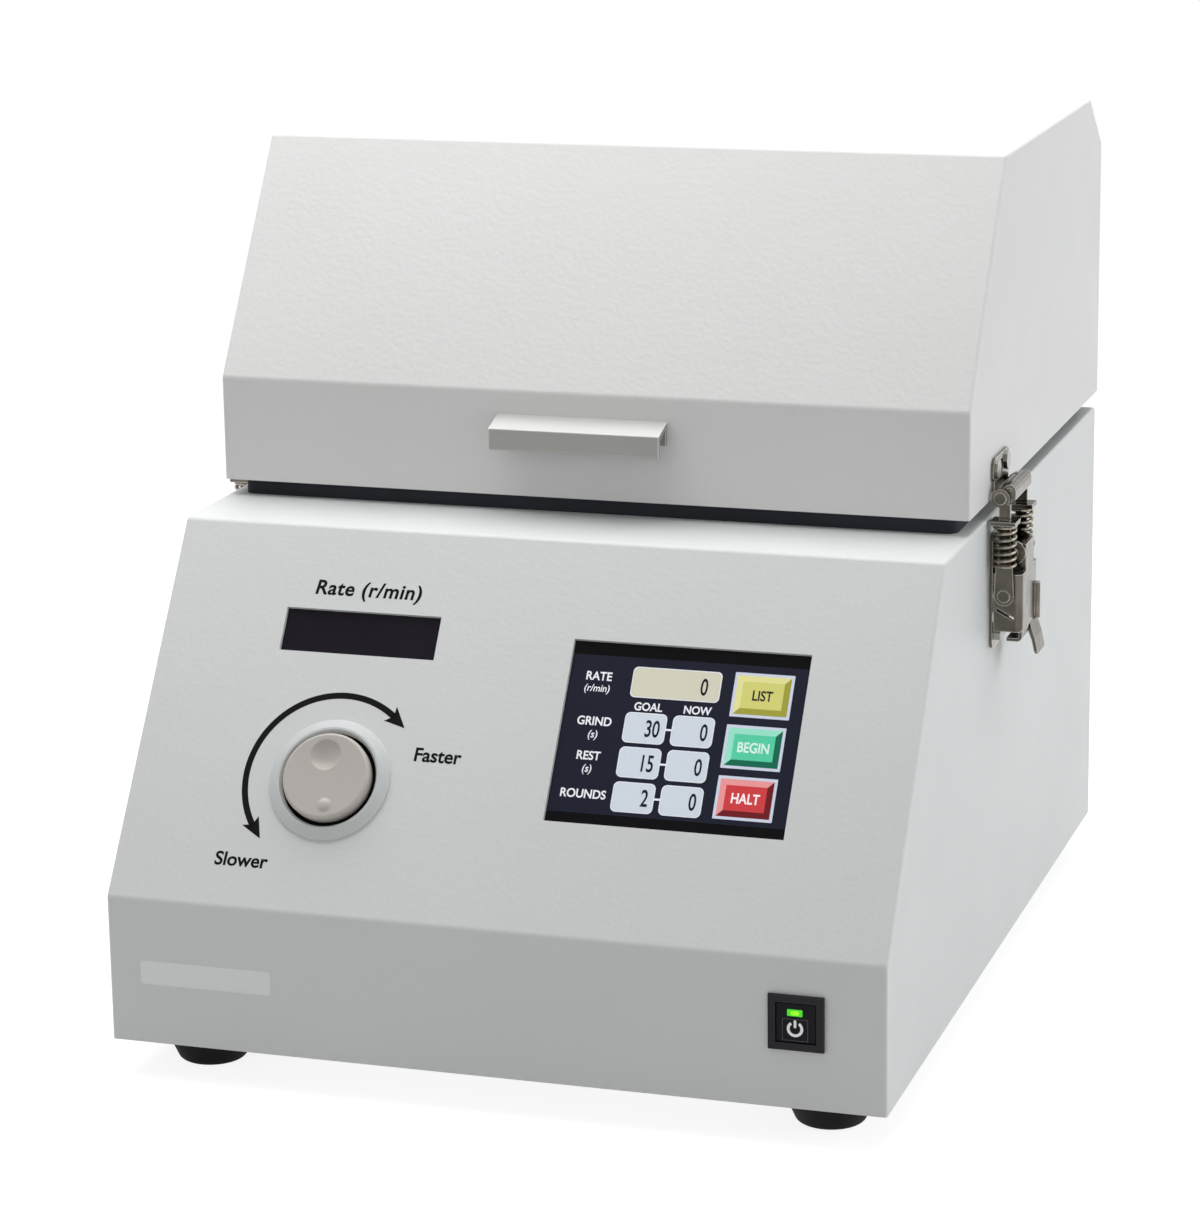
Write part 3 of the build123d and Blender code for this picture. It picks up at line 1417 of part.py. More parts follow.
# ---------------------------------------------------------------- small screws
def pan_screws(seats, length, head=screw_head_height):
    """Small screws, each with its head standing on a seat."""
    for seat in seats:
        prism(seat, screw_head_radius, head, screw_sides + 2)
        prism(seat.offset(-length), screw_shank_radius, length, screw_sides)


case_seats = [plane.offset(latch_plate) for plane in latch_screws]
case_seats += [plane.offset(hinge_leaf) for plane in base_leaf_screws]
case_seats += rear_screws + [on(fan_mouth, place, guard_stand) for place in fan_corners]
with BuildPart() as case_screws:
    pan_screws(case_seats, screw_length)
finish(case_screws, "case_screws")

with BuildPart() as lid_screws:
    pan_screws([plane.offset(latch_plate) for plane in keeper_screws], latch_plate + lid_sheet, low_head)
    pan_screws([plane.offset(hinge_leaf) for plane in lid_leaf_screws], hinge_leaf + lid_sheet)
    pan_screws(handle_screws, lid_sheet + handle_wall)
finish(lid_screws, "lid_screws")
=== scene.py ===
import bmesh
import bpy
import json
import math
from mathutils import Matrix, Vector


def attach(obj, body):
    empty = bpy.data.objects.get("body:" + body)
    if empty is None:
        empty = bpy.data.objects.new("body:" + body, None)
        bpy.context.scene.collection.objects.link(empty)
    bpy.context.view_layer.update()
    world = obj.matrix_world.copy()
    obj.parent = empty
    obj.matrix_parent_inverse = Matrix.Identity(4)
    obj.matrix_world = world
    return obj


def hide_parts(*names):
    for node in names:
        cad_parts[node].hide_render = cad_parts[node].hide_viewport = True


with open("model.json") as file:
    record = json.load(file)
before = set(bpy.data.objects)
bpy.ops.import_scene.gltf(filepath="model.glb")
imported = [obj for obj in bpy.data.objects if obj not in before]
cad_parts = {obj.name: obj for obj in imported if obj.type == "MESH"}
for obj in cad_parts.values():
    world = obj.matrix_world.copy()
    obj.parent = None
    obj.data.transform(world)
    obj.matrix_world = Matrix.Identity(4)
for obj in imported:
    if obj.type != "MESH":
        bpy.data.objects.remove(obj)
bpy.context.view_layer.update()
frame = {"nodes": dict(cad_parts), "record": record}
nodes = frame["nodes"]
millimetre = 0.001
print("stage: frame loaded,", len(nodes), "nodes")

# The case's own planes: x and y lie on the face, z stands out of it
case = {
    "frontY": -170.9, "undersideZ": 13.0, "slopeFoot": 64.0, "slopeRun": 79.7, "slopeRise": 113.0,
    "sheet": 1.6,
}
slopeAngle = math.atan2(case["slopeRise"], case["slopeRun"])


def faceMatrix(y, z, angle):
    return Matrix.Translation((0, y * millimetre, z * millimetre)) @ Matrix.Rotation(angle, 4, "X")


slopeFace = faceMatrix(case["frontY"], case["slopeFoot"], slopeAngle)
frontFace = faceMatrix(case["frontY"], case["undersideZ"], math.pi / 2)


def fromDisplay(colour):
    # Eight-bit display colour to the linear values that the shader takes
    linear = []
    for value in colour:
        share = value / 255
        linear.append(share / 12.92 if share <= 0.04045 else ((share + 0.055) / 1.055) ** 2.4)
    return (*linear, 1.0)


# Shader node groups shared by several finishes
def makeGroup(name, inputs, outputs):
    group = bpy.data.node_groups.new(name, "ShaderNodeTree")
    for label, kind, value in inputs:
        socket = group.interface.new_socket(label, in_out="INPUT", socket_type=kind)
        socket.default_value = value
    for label, kind in outputs:
        group.interface.new_socket(label, in_out="OUTPUT", socket_type=kind)
    return group, group.nodes.new("NodeGroupInput"), group.nodes.new("NodeGroupOutput")


def place(tree, kind, **settings):
    node = tree.nodes.new(kind)
    for name, value in settings.items():
        if hasattr(node, name):
            setattr(node, name, value)
        else:
            node.inputs[name.replace("_", " ")].default_value = value
    return node


def join(tree, pairs):
    for output, target in pairs:
        tree.links.new(output, target)


def buildPowderGrainAndGlint():
    # Orange peel of a baked powder coat, and white specks that paint glints on it
    group, start, end = makeGroup(
        "powderGrainAndGlint",
        [("Pebble Scale", "NodeSocketFloat", 700.0), ("Fleck Scale", "NodeSocketFloat", 1500.0)],
        [("Height", "NodeSocketFloat"), ("Glint", "NodeSocketFloat")],
    )
    where = place(group, "ShaderNodeTexCoord")
    pebble = place(group, "ShaderNodeTexNoise", Detail=2.0, Roughness=0.45)
    broad = place(group, "ShaderNodeTexNoise", Detail=1.0, Roughness=0.5)
    third = place(group, "ShaderNodeMath", operation="MULTIPLY")
    third.inputs[1].default_value = 0.36
    mix = place(group, "ShaderNodeMix", data_type="FLOAT", Factor=0.35)
    cells = place(group, "ShaderNodeTexVoronoi", feature="F1")
    glintSpecks = place(group, "ShaderNodeMapRange", clamp=True, From_Min=0.07, From_Max=0.03)
    join(
        group,
        [
            (where.outputs["Object"], pebble.inputs["Vector"]),
            (where.outputs["Object"], broad.inputs["Vector"]),
            (where.outputs["Object"], cells.inputs["Vector"]),
            (start.outputs["Pebble Scale"], pebble.inputs["Scale"]),
            (start.outputs["Pebble Scale"], third.inputs[0]),
            (third.outputs[0], broad.inputs["Scale"]),
            (start.outputs["Fleck Scale"], cells.inputs["Scale"]),
            (pebble.outputs[0], mix.inputs["A"]),
            (broad.outputs[0], mix.inputs["B"]),
            (mix.outputs[0], end.inputs["Height"]),
            (cells.outputs["Distance"], glintSpecks.inputs["Value"]),
            (glintSpecks.outputs[0], end.inputs["Glint"]),
        ],
    )
    return group


def buildMottle():
    # Slow change over a surface, for handling marks and uneven finish
    group, start, end = makeGroup(
        "mottle",
        [
            ("Scale", "NodeSocketFloat", 20.0),
            ("Low", "NodeSocketFloat", 0.0),
            ("High", "NodeSocketFloat", 1.0),
        ],
        [("Value", "NodeSocketFloat")],
    )
    where = place(group, "ShaderNodeTexCoord")
    cloud = place(group, "ShaderNodeTexNoise", Detail=4.0, Roughness=0.55)
    spread = place(group, "ShaderNodeMapRange", clamp=True, From_Min=0.32, From_Max=0.68)
    join(
        group,
        [
            (where.outputs["Object"], cloud.inputs["Vector"]),
            (start.outputs["Scale"], cloud.inputs["Scale"]),
            (cloud.outputs[0], spread.inputs["Value"]),
            (start.outputs["Low"], spread.inputs["To Min"]),
            (start.outputs["High"], spread.inputs["To Max"]),
            (spread.outputs[0], end.inputs["Value"]),
        ],
    )
    return group


def buildBrush():
    # Fine drawn lines: the noise is stretched by a different scale along each axis
    group, start, end = makeGroup(
        "brushLines",
        [("Stretch", "NodeSocketVector", (40.0, 3000.0, 3000.0))],
        [("Height", "NodeSocketFloat"), ("Shade", "NodeSocketFloat")],
    )
    where = place(group, "ShaderNodeTexCoord")
    stretch = place(group, "ShaderNodeVectorMath", operation="MULTIPLY")
    lines = place(group, "ShaderNodeTexNoise", Scale=1.0, Detail=3.0, Roughness=0.6)
    shade = place(group, "ShaderNodeMapRange", clamp=True, From_Min=0.3, From_Max=0.7)
    join(
        group,
        [
            (where.outputs["Object"], stretch.inputs[0]),
            (start.outputs["Stretch"], stretch.inputs[1]),
            (stretch.outputs[0], lines.inputs["Vector"]),
            (lines.outputs[0], end.inputs["Height"]),
            (lines.outputs[0], shade.inputs["Value"]),
            (shade.outputs[0], end.inputs["Shade"]),
        ],
    )
    return group


def buildEdgeHighlight():
    # Mask of the outside edges, where a lighter colour paints the highlight that edges catch
    group, start, end = makeGroup(
        "edgeHighlight",
        [("Gain", "NodeSocketFloat", 6.0), ("Breakup Scale", "NodeSocketFloat", 300.0)],
        [("Mask", "NodeSocketFloat")],
    )
    soft = place(group, "ShaderNodeBevel", samples=4, Radius=0.0006)
    plain = place(group, "ShaderNodeNewGeometry")
    turn = place(group, "ShaderNodeVectorMath", operation="DOT_PRODUCT")
    away = place(group, "ShaderNodeMath", operation="SUBTRACT")
    away.inputs[0].default_value = 1.0
    gain = place(group, "ShaderNodeMath", operation="MULTIPLY")
    where = place(group, "ShaderNodeTexCoord")
    highlightBreakup = place(group, "ShaderNodeTexNoise", Detail=3.0, Roughness=0.6)
    keep = place(group, "ShaderNodeMath", operation="MULTIPLY", use_clamp=True)
    join(
        group,
        [
            (soft.outputs[0], turn.inputs[0]),
            (plain.outputs["Normal"], turn.inputs[1]),
            (turn.outputs["Value"], away.inputs[1]),
            (away.outputs[0], gain.inputs[0]),
            (start.outputs["Gain"], gain.inputs[1]),
            (where.outputs["Object"], highlightBreakup.inputs["Vector"]),
            (start.outputs["Breakup Scale"], highlightBreakup.inputs["Scale"]),
            (gain.outputs[0], keep.inputs[0]),
            (highlightBreakup.outputs[0], keep.inputs[1]),
            (keep.outputs[0], end.inputs["Mask"]),
        ],
    )
    return group


def buildTopHighlight():
    # Mask of the faces that look up when the piece is at rest, where a lighter colour paints the highlight
    # from above
    group, start, end = makeGroup(
        "upperSide", [("Low", "NodeSocketFloat", 0.5)], [("Mask", "NodeSocketFloat")]
    )
    where = place(group, "ShaderNodeTexCoord")
    parts = place(group, "ShaderNodeSeparateXYZ")
    rise = place(group, "ShaderNodeMapRange", clamp=True, From_Max=0.95)
    join(
        group,
        [
            (where.outputs["Normal"], parts.inputs[0]),
            (parts.outputs["Z"], rise.inputs["Value"]),
            (start.outputs["Low"], rise.inputs["From Min"]),
            (rise.outputs[0], end.inputs["Mask"]),
        ],
    )
    return group


groups = {
    "upper": buildTopHighlight(),
    "grain": buildPowderGrainAndGlint(),
    "mottle": buildMottle(),
    "brush": buildBrush(),
    "edge": buildEdgeHighlight(),
}
print("stage: node groups made")


def useGroup(tree, name, **values):
    node = tree.nodes.new("ShaderNodeGroup")
    node.node_tree = groups[name]
    for label, value in values.items():
        node.inputs[label.replace("_", " ")].default_value = value
    return node


def mixColour(tree, factor, first, second):
    mix = place(tree, "ShaderNodeMix", data_type="RGBA")
    tree.links.new(factor, mix.inputs["Factor"])
    for value, socket in ((first, mix.inputs["A"]), (second, mix.inputs["B"])):
        if isinstance(value, tuple):
            socket.default_value = value
        else:
            tree.links.new(value, socket)
    return mix.outputs["Result"]


def makeFinish(name, look):
    material = bpy.data.materials.new(name)
    material.use_nodes = True
    tree = material.node_tree
    shader = tree.nodes["Principled BSDF"]
    shader.inputs["Metallic"].default_value = look.get("metallic", 0.0)
    shader.inputs["IOR"].default_value = look.get("ior", 1.46)
    shader.inputs["Specular IOR Level"].default_value = look.get("specular", 0.5)
    shader.inputs["Coat Weight"].default_value = look.get("coat", 0.0)
    shader.inputs["Coat Roughness"].default_value = 0.08
    shader.inputs["Sheen Weight"].default_value = look.get("sheen", 0.0)
    colour = fromDisplay(look["colour"])
    shade = fromDisplay(look.get("shade", [value * 0.93 for value in look["colour"]]))
    tone = useGroup(tree, "mottle", Scale=look.get("mottleScale", 14.0))
    surface = mixColour(tree, tone.outputs[0], colour, shade)
    low, high = look["roughness"]
    rough = useGroup(tree, "mottle", Scale=look.get("mottleScale", 14.0) * 3.1, Low=low, High=high)
    tree.links.new(rough.outputs[0], shader.inputs["Roughness"])
    height = None
    if "pebble" in look:
        grain = useGroup(tree, "grain", Pebble_Scale=look["pebble"], Fleck_Scale=look.get("glintSpecks", 900.0))
        height = grain.outputs["Height"]
        # White specks mixed into the colour paint glints on the coat
        if "glintSpecks" in look:
            surface = mixColour(tree, grain.outputs["Glint"], surface, fromDisplay((255, 255, 255)))
    if "stretch" in look:
        lines = useGroup(tree, "brush", Stretch=look["stretch"])
        height = lines.outputs["Height"]
        surface = mixColour(tree, lines.outputs["Shade"], surface, fromDisplay(look["lineShade"]))
    # A lighter top colour over this mask paints the highlight on upward faces
    if "top" in look:
        upper = useGroup(tree, "upper")
        surface = mixColour(tree, upper.outputs["Mask"], surface, fromDisplay(look["top"]))
    # A lighter edge colour over this mask paints highlights along the outside edges
    if "edge" in look:
        edge = useGroup(tree, "edge", Gain=look.get("edgeGain", 5.0))
        surface = mixColour(tree, edge.outputs["Mask"], surface, fromDisplay(look["edge"]))
    tree.links.new(surface, shader.inputs["Base Color"])
    if height is not None:
        bump = place(tree, "ShaderNodeBump", Strength=look["bump"], Distance=look.get("bumpDepth", 0.0002))
        join(tree, [(height, bump.inputs["Height"]), (bump.outputs[0], shader.inputs["Normal"])])
    if "glow" in look:
        shader.inputs["Emission Color"].default_value = fromDisplay(look["glow"])
        shader.inputs["Emission Strength"].default_value = look["glowStrength"]
    return material


# The edge colours below paint highlights along outside edges
looks = {
    "case_paint": {
        "colour": (222, 224, 224), "shade": (219, 221, 221), "roughness": (0.42, 0.5), "pebble": 620.0,
        "bump": 0.55, "glintSpecks": 420.0, "mottleScale": 9.0,
    },
    "lid_paint": {
        "colour": (225, 225, 224), "shade": (222, 222, 221), "roughness": (0.38, 0.48), "pebble": 560.0,
        "bump": 0.75, "glintSpecks": 420.0, "mottleScale": 9.0,
    },
    "dark_steel": {
        "colour": (150, 152, 154), "metallic": 1.0, "roughness": (0.4, 0.52),
        "stretch": (3000.0, 60.0, 3000.0), "lineShade": (132, 134, 136), "bump": 0.05,
    },
    "foot_rubber": {
        "colour": (20, 19, 23), "shade": (15, 14, 18), "roughness": (0.62, 0.75), "pebble": 1500.0,
        "bump": 0.15, "edge": (34, 33, 38), "specular": 0.15,
    },
    "screw_steel": {
        "colour": (176, 174, 170), "metallic": 1.0, "roughness": (0.24, 0.36), "edge": (214, 212, 208),
    },
    "foam": {
        "colour": (58, 62, 68), "shade": (44, 47, 53), "roughness": (0.86, 0.95), "pebble": 420.0,
        "bump": 0.9, "bumpDepth": 0.0012, "sheen": 0.15,
    },
    # The handle's top colour paints a highlight on its upward faces
    "satin_aluminium": {
        "colour": (168, 168, 164), "metallic": 0.3, "roughness": (0.4, 0.5), "specular": 0.3,
        "stretch": (60.0, 3600.0, 3600.0), "lineShade": (160, 160, 156), "bump": 0.05,
        "edge": (240, 240, 238), "top": (210, 210, 207), "edgeGain": 14.0,
    },
    "gasket_rubber": {
        "colour": (44, 48, 56), "shade": (34, 36, 43), "roughness": (0.6, 0.72), "pebble": 1300.0,
        "bump": 0.2, "specular": 0.25,
    },
    "stainless": {
        "colour": (190, 190, 189), "metallic": 1.0, "roughness": (0.26, 0.36),
        "stretch": (60.0, 2600.0, 2600.0), "lineShade": (174, 174, 173), "bump": 0.05,
        "edge": (222, 222, 221),
    },
    "nickel": {
        "colour": (122, 116, 107), "shade": (86, 81, 74), "metallic": 1.0, "roughness": (0.14, 0.26),
        "mottleScale": 60.0, "edge": (222, 218, 208), "edgeGain": 7.0,
    },
    "spring_steel": {
        "colour": (164, 156, 143), "shade": (112, 106, 96), "metallic": 1.0, "roughness": (0.14, 0.24),
        "mottleScale": 90.0,
    },
    "black_plastic": {
        "colour": (30, 28, 33), "shade": (23, 21, 26), "roughness": (0.42, 0.55), "pebble": 1700.0,
        "bump": 0.12, "edge": (60, 57, 63), "specular": 0.25,
    },
    "screen_glass": {
        "colour": (13, 12, 16), "shade": (10, 9, 13), "roughness": (0.1, 0.16), "specular": 0.25,
    },
    "smoked_lens": {
        "colour": (32, 28, 38), "shade": (27, 24, 33), "roughness": (0.12, 0.2), "specular": 0.25,
    },
    "pale_plastic": {
        "colour": (206, 209, 209), "shade": (202, 205, 205), "roughness": (0.4, 0.48), "pebble": 1600.0,
        "bump": 0.06, "edge": (232, 235, 236),
    },
    "knob_plastic": {
        "colour": (196, 190, 184), "shade": (190, 184, 178), "roughness": (0.36, 0.44),
        "pebble": 1600.0, "bump": 0.06, "edge": (226, 222, 218),
    },
    "plated_steel": {
        "colour": (184, 186, 188), "metallic": 1.0, "roughness": (0.3, 0.42), "edge": (216, 218, 219),
    },
    "gloss_black": {
        "colour": (24, 22, 27), "shade": (18, 16, 21), "roughness": (0.24, 0.34), "specular": 0.12,
        "edge": (48, 46, 52),
    },
    "motor_paint": {
        "colour": (52, 53, 56), "shade": (44, 45, 48), "roughness": (0.46, 0.56), "pebble": 900.0,
        "bump": 0.25, "edge": (104, 104, 106),
    },
    "cast_hub": {
        "colour": (120, 121, 123), "shade": (98, 99, 101), "metallic": 0.9, "roughness": (0.4, 0.56),
        "mottleScale": 80.0, "edge": (168, 168, 170),
    },
    "bearing_steel": {
        "colour": (196, 197, 200), "metallic": 1.0, "roughness": (0.12, 0.2), "mottleScale": 60.0,
    },
    "machined_aluminium": {
        "colour": (200, 201, 203), "metallic": 0.95, "roughness": (0.28, 0.38),
        "stretch": (900.0, 900.0, 3000.0), "lineShade": (188, 189, 191), "bump": 0.05,
        "edge": (228, 229, 230),
    },
    "roller_plastic": {
        "colour": (226, 224, 216), "shade": (218, 216, 208), "roughness": (0.4, 0.5), "pebble": 1400.0,
        "bump": 0.06,
    },
    "cap_plastic": {
        "colour": (50, 76, 118), "shade": (44, 68, 108), "roughness": (0.38, 0.48), "pebble": 1300.0,
        "bump": 0.1, "edge": (84, 110, 150),
    },
    "green_board": {
        "colour": (34, 92, 62), "shade": (28, 80, 54), "roughness": (0.32, 0.44), "mottleScale": 160.0,
    },
    "magnet_nickel": {
        "colour": (196, 194, 190), "metallic": 1.0, "roughness": (0.16, 0.24),
    },
}
finishes = {name: makeFinish(name, look) for name, look in looks.items()}
slotOf = {entry["node"]: entry["material_slot"] for entry in frame["record"]["subparts"]}
for nodeName, thing in nodes.items():
    thing.data.materials.clear()
    thing.data.materials.append(finishes[slotOf[nodeName]])
print("stage: finishes on the solid pieces")


# Small makers for printed and moulded details
inkDepth = 0.012


def addPiece(name, data, material, body):
    piece = bpy.data.objects.new(name, data)
    bpy.context.scene.collection.objects.link(piece)
    data.materials.append(material)
    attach(piece, body)
    return piece


def plates(name, outlines, face, lift, thickness, material, body):
    # Thin raised shapes on a face, from outlines in millimetres
    shape = bmesh.new()
    for outline in outlines:
        low, high = [
            [shape.verts.new(face @ (Vector((x, y, level)) * millimetre)) for x, y in outline]
            for level in (lift, lift + thickness)
        ]
        shape.faces.new(high)
        shape.faces.new(low[::-1])
        for here in range(len(outline)):
            there = (here + 1) % len(outline)
            shape.faces.new((low[here], low[there], high[there], high[here]))
    bmesh.ops.recalc_face_normals(shape, faces=shape.faces)
    mesh = bpy.data.meshes.new(name)
    shape.to_mesh(mesh)
    shape.free()
    addPiece(name, mesh, material, body)


def roundedBox(left, low, right, high, radius, steps=6):
    outline = []
    for cornerX, cornerY, start in (
        (right - radius, high - radius, 0),
        (left + radius, high - radius, 90),
        (left + radius, low + radius, 180),
        (right - radius, low + radius, 270),
    ):
        for step in range(steps + 1):
            angle = math.radians(start + 90 * step / steps)
            outline.append((cornerX + radius * math.cos(angle), cornerY + radius * math.sin(angle)))
    return outline


def arcBand(centre, radius, width, start, stop, steps=48):
    # A ring's sector as a run of four-sided outlines
    bands = []
    inner, outer = radius - width / 2, radius + width / 2
    for step in range(steps):
        angles = [math.radians(start + (stop - start) * (step + more) / steps) for more in (0, 1)]
        first, second = [(math.cos(angle), math.sin(angle)) for angle in angles]
        bands.append(
            [
                (centre[0] + inner * first[0], centre[1] + inner * first[1]),
                (centre[0] + outer * first[0], centre[1] + outer * first[1]),
                (centre[0] + outer * second[0], centre[1] + outer * second[1]),
                (centre[0] + inner * second[0], centre[1] + inner * second[1]),
            ]
        )
    return bands


def lettering(name, words, spot, size, face, lift, material, body, look):
    # The spot is where the base line starts, or its middle or end by the look's align, in millimetres
    text = bpy.data.curves.new(name, "FONT")
    text.body = words
    text.size = size * millimetre
    text.shear = look.get("shear", 0.0)
    text.space_character = look.get("spacing", 1.0)
    text.offset = look.get("weight", 0.0) * millimetre
    text.align_x = look.get("align", "LEFT")
    text.extrude = inkDepth * millimetre
    text.resolution_u = 6
    piece = bpy.data.objects.new(name, text)
    bpy.context.scene.collection.objects.link(piece)
    narrow = Matrix.Diagonal((look.get("width", 1.0), 1.0, 1.0, 1.0))
    piece.matrix_world = face @ Matrix.Translation(Vector((*spot, lift)) * millimetre) @ narrow
    text.materials.append(material)
    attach(piece, body)


# Printing on the case
printing = {
    "lift": 0.03,
    "ink": {"colour": (14, 14, 16), "shade": (17, 17, 19), "roughness": (0.5, 0.6), "specular": 0.12},
    "title": {
        "words": "Rate (r/min)", "spot": (-63.0, 113.0), "size": 7.3,
        "look": {"align": "CENTER", "weight": 0.17, "shear": 0.12, "spacing": 1.07},
    },
    "right": {"words": "Faster", "spot": (-35.8, 56.0), "size": 6.7, "look": {"weight": 0.15, "shear": 0.03}},
    "left": {"words": "Slower", "spot": (-99.0, 14.4), "size": 6.7, "look": {"weight": 0.15, "shear": 0.03}},
    "arc": {
        "centre": (-63.5, 46.8), "radius": 30.2, "width": 2.2, "start": 55.0, "stop": 213.7,
        "overlap": 3, "layer": 0.02,
    },
    "head": {"long": 7.0, "half": 3.2, "notch": 1.4, "tuck": 0.4, "sweep": 0.2, "drift": 0.3},
}
ink = makeFinish("blackInk", printing["ink"])
for key in ("title", "right", "left"):
    entry = printing[key]
    lettering(
        f"legend_{key}", entry["words"], entry["spot"], entry["size"], slopeFace, printing["lift"], ink,
        "base", entry["look"],
    )


def arrowHead(arc, angle, turn):
    # A barbed head beyond the arc's end, its tip a little outside the arc's circle
    head = printing["head"]
    reach = math.degrees(head["long"] / arc["radius"]) * turn
    tip = math.radians(angle + reach)
    root = math.radians(angle - math.degrees(head["tuck"] / arc["radius"]) * turn)
    centre = Vector(arc["centre"])
    out = Vector((math.cos(root), math.sin(root)))
    along = Vector((-out.y, out.x)) * turn
    base = centre + out * arc["radius"]
    point = centre + Vector((math.cos(tip), math.sin(tip))) * (arc["radius"] + head["drift"])
    wings = [base + out * side * head["half"] - along * head["sweep"] for side in (1, -1)]
    notch = base + along * head["notch"]
    return [[tuple(point), tuple(wings[0]), tuple(notch)], [tuple(point), tuple(notch), tuple(wings[1])]]


arc = printing["arc"]
plates(
    "turn_arrow",
    arcBand(
        arc["centre"], arc["radius"], arc["width"],
        arc["start"] - arc["overlap"], arc["stop"] + arc["overlap"],
    )
    + arrowHead(arc, arc["start"], -1)
    + arrowHead(arc, arc["stop"], 1),
    slopeFace, arc["layer"], arc["layer"], ink, "base",
)

label = {
    "box": (-123.5, 21.0, -76.5, 29.2), "corner": 1.2, "thick": 0.25,
    "look": {"colour": (238, 240, 240), "shade": (234, 236, 237), "roughness": (0.3, 0.38), "coat": 0.2},
}
plates(
    "blank_label", [roundedBox(*label["box"], label["corner"])], frontFace, 0.0, label["thick"],
    makeFinish("labelFilm", label["look"]), "base",
)
print("stage: printing on the case")

# Picture on the touch screen
screen = {
    "lift": -case["sheet"] - 0.05,
    "layer": 0.03,
    "layerCount": 4,
    "panel": (13.1, 43.1, 94.9, 98.4),
    "navy": (30, 32, 46),
    "pale": (204, 212, 222),
    "beige": (208, 205, 186),
    "white": (228, 231, 236),
    "dark": (30, 32, 38),
    "corner": 1.7,
    "square": 0.05,  # corner radius of what has sharp corners
    "rim": {"width": 0.3, "softer": 0.2},
    "link": {"overlap": 0.2, "half": 0.35},
    "rate": (35.1, 84.8, 65.2, 95.0),
    "columns": ((34.9, 48.8), (51.4, 65.2)),
    "rows": ((68.9, 79.0), (56.8, 66.9), (44.8, 54.7)),
    "numbers": (("30", "0"), ("15", "0"), ("2", "0")),
    "labels": (
        ("RATE", (18.6, 89.6), 4.2), ("(r/min)", (18.6, 85.6), 3.5), ("GOAL", (37.0, 80.1), 3.9),
        ("NOW", (54.0, 80.1), 3.9), ("GRIND", (18.2, 73.8), 4.2), ("(s)", (22.6, 69.4), 3.7),
        ("REST", (20.0, 61.7), 4.2), ("(s)", (22.6, 57.4), 3.7), ("ROUNDS", (16.6, 48.4), 4.2),
    ),
    "buttons": (
        {
            "box": (69.8, 80.3, 90.1, 95.8), "word": "LIST", "face": (208, 205, 118),
            "light": (222, 220, 150), "dim": (158, 156, 62), "ink": (40, 40, 36),
        },
        {
            "box": (69.6, 62.4, 89.8, 77.5), "word": "BEGIN", "face": (86, 202, 162),
            "light": (150, 222, 198), "dim": (24, 104, 80), "ink": (216, 240, 230),
        },
        {
            "box": (69.6, 44.9, 89.7, 59.8), "word": "HALT", "face": (204, 64, 68),
            "light": (232, 150, 150), "dim": (110, 30, 36), "ink": (250, 240, 240),
        },
    ),
    "word": {"size": 4.9, "drop": 1.7, "look": {"align": "CENTER", "width": 0.8, "weight": 0.11}},
    "digits": {
        "size": 8.2, "rateSpot": (61.2, 86.9), "inset": (1.7, 2.2),
        "look": {"align": "RIGHT", "width": 0.64, "weight": 0.12},
    },
    "frame": (202, 209, 226),
    "bevel": 2.1,
    "border": 1.0,
}


def litFinish(name, colour):
    lit = {"colour": colour, "shade": colour, "glow": colour}
    return makeFinish(name, {**lit, "roughness": (0.2, 0.26), "specular": 0.2, "glowStrength": 0.25})


inkNames = ("navy", "pale", "beige", "white", "dark", "frame")
inks = {name: litFinish("lit_" + name, screen[name]) for name in inkNames}
layers = [screen["lift"] + screen["layer"] * step for step in range(1, screen["layerCount"] + 1)]


def onScreen(name, outlines, layer, material):
    plates(name, outlines, slopeFace, layers[layer], screen["layer"] / 2, material, "base")


def screenWords(name, words, spot, size, layer, material, look):
    lettering(name, words, spot, size, slopeFace, layers[layer], material, "base", look)


def rimBox(left, low, right, high, corner):
    width = screen["rim"]["width"]
    return roundedBox(left - width, low - width, right + width, high + width, corner)


onScreen("screen_ground", [roundedBox(*screen["panel"], screen["square"], 1)], 0, inks["navy"])
rims = [rimBox(*screen["rate"], screen["corner"])]
onScreen("screen_rate_field", [roundedBox(*screen["rate"], screen["corner"])], 2, inks["beige"])
numberFields = []
for low, high in screen["rows"]:
    for left, right in screen["columns"]:
        numberFields.append(roundedBox(left, low, right, high, screen["corner"]))
        rims.append(rimBox(left, low, right, high, screen["corner"] + screen["rim"]["softer"]))
    middle = (low + high) / 2
    linkLeft = screen["columns"][0][1] - screen["link"]["overlap"]
    linkRight = screen["columns"][1][0] + screen["link"]["overlap"]
    linkHalf = screen["link"]["half"]
    rims.append(roundedBox(linkLeft, middle - linkHalf, linkRight, middle + linkHalf, screen["square"], 1))
onScreen("screen_number_fields", numberFields, 2, inks["pale"])
onScreen("screen_field_rims", rims, 1, inks["white"])
digits = screen["digits"]
screenWords("screen_digit_rate", "0", digits["rateSpot"], digits["size"], 3, inks["dark"], digits["look"])
for row, ((low, high), pair) in enumerate(zip(screen["rows"], screen["numbers"])):
    for column, ((left, right), number) in enumerate(zip(screen["columns"], pair)):
        spot = (right - digits["inset"][0], low + digits["inset"][1])
        name = f"screen_digit_{row}_{column}"
        screenWords(name, number, spot, digits["size"], 3, inks["dark"], digits["look"])
for index, (words, spot, size) in enumerate(screen["labels"]):
    slant = {"shear": 0.12, "weight": 0.05} if words.startswith("(") else {"weight": 0.1}
    look = {"width": 0.92, **slant}
    screenWords(f"screen_label_{index}", words, spot, size, 1, inks["white"], look)
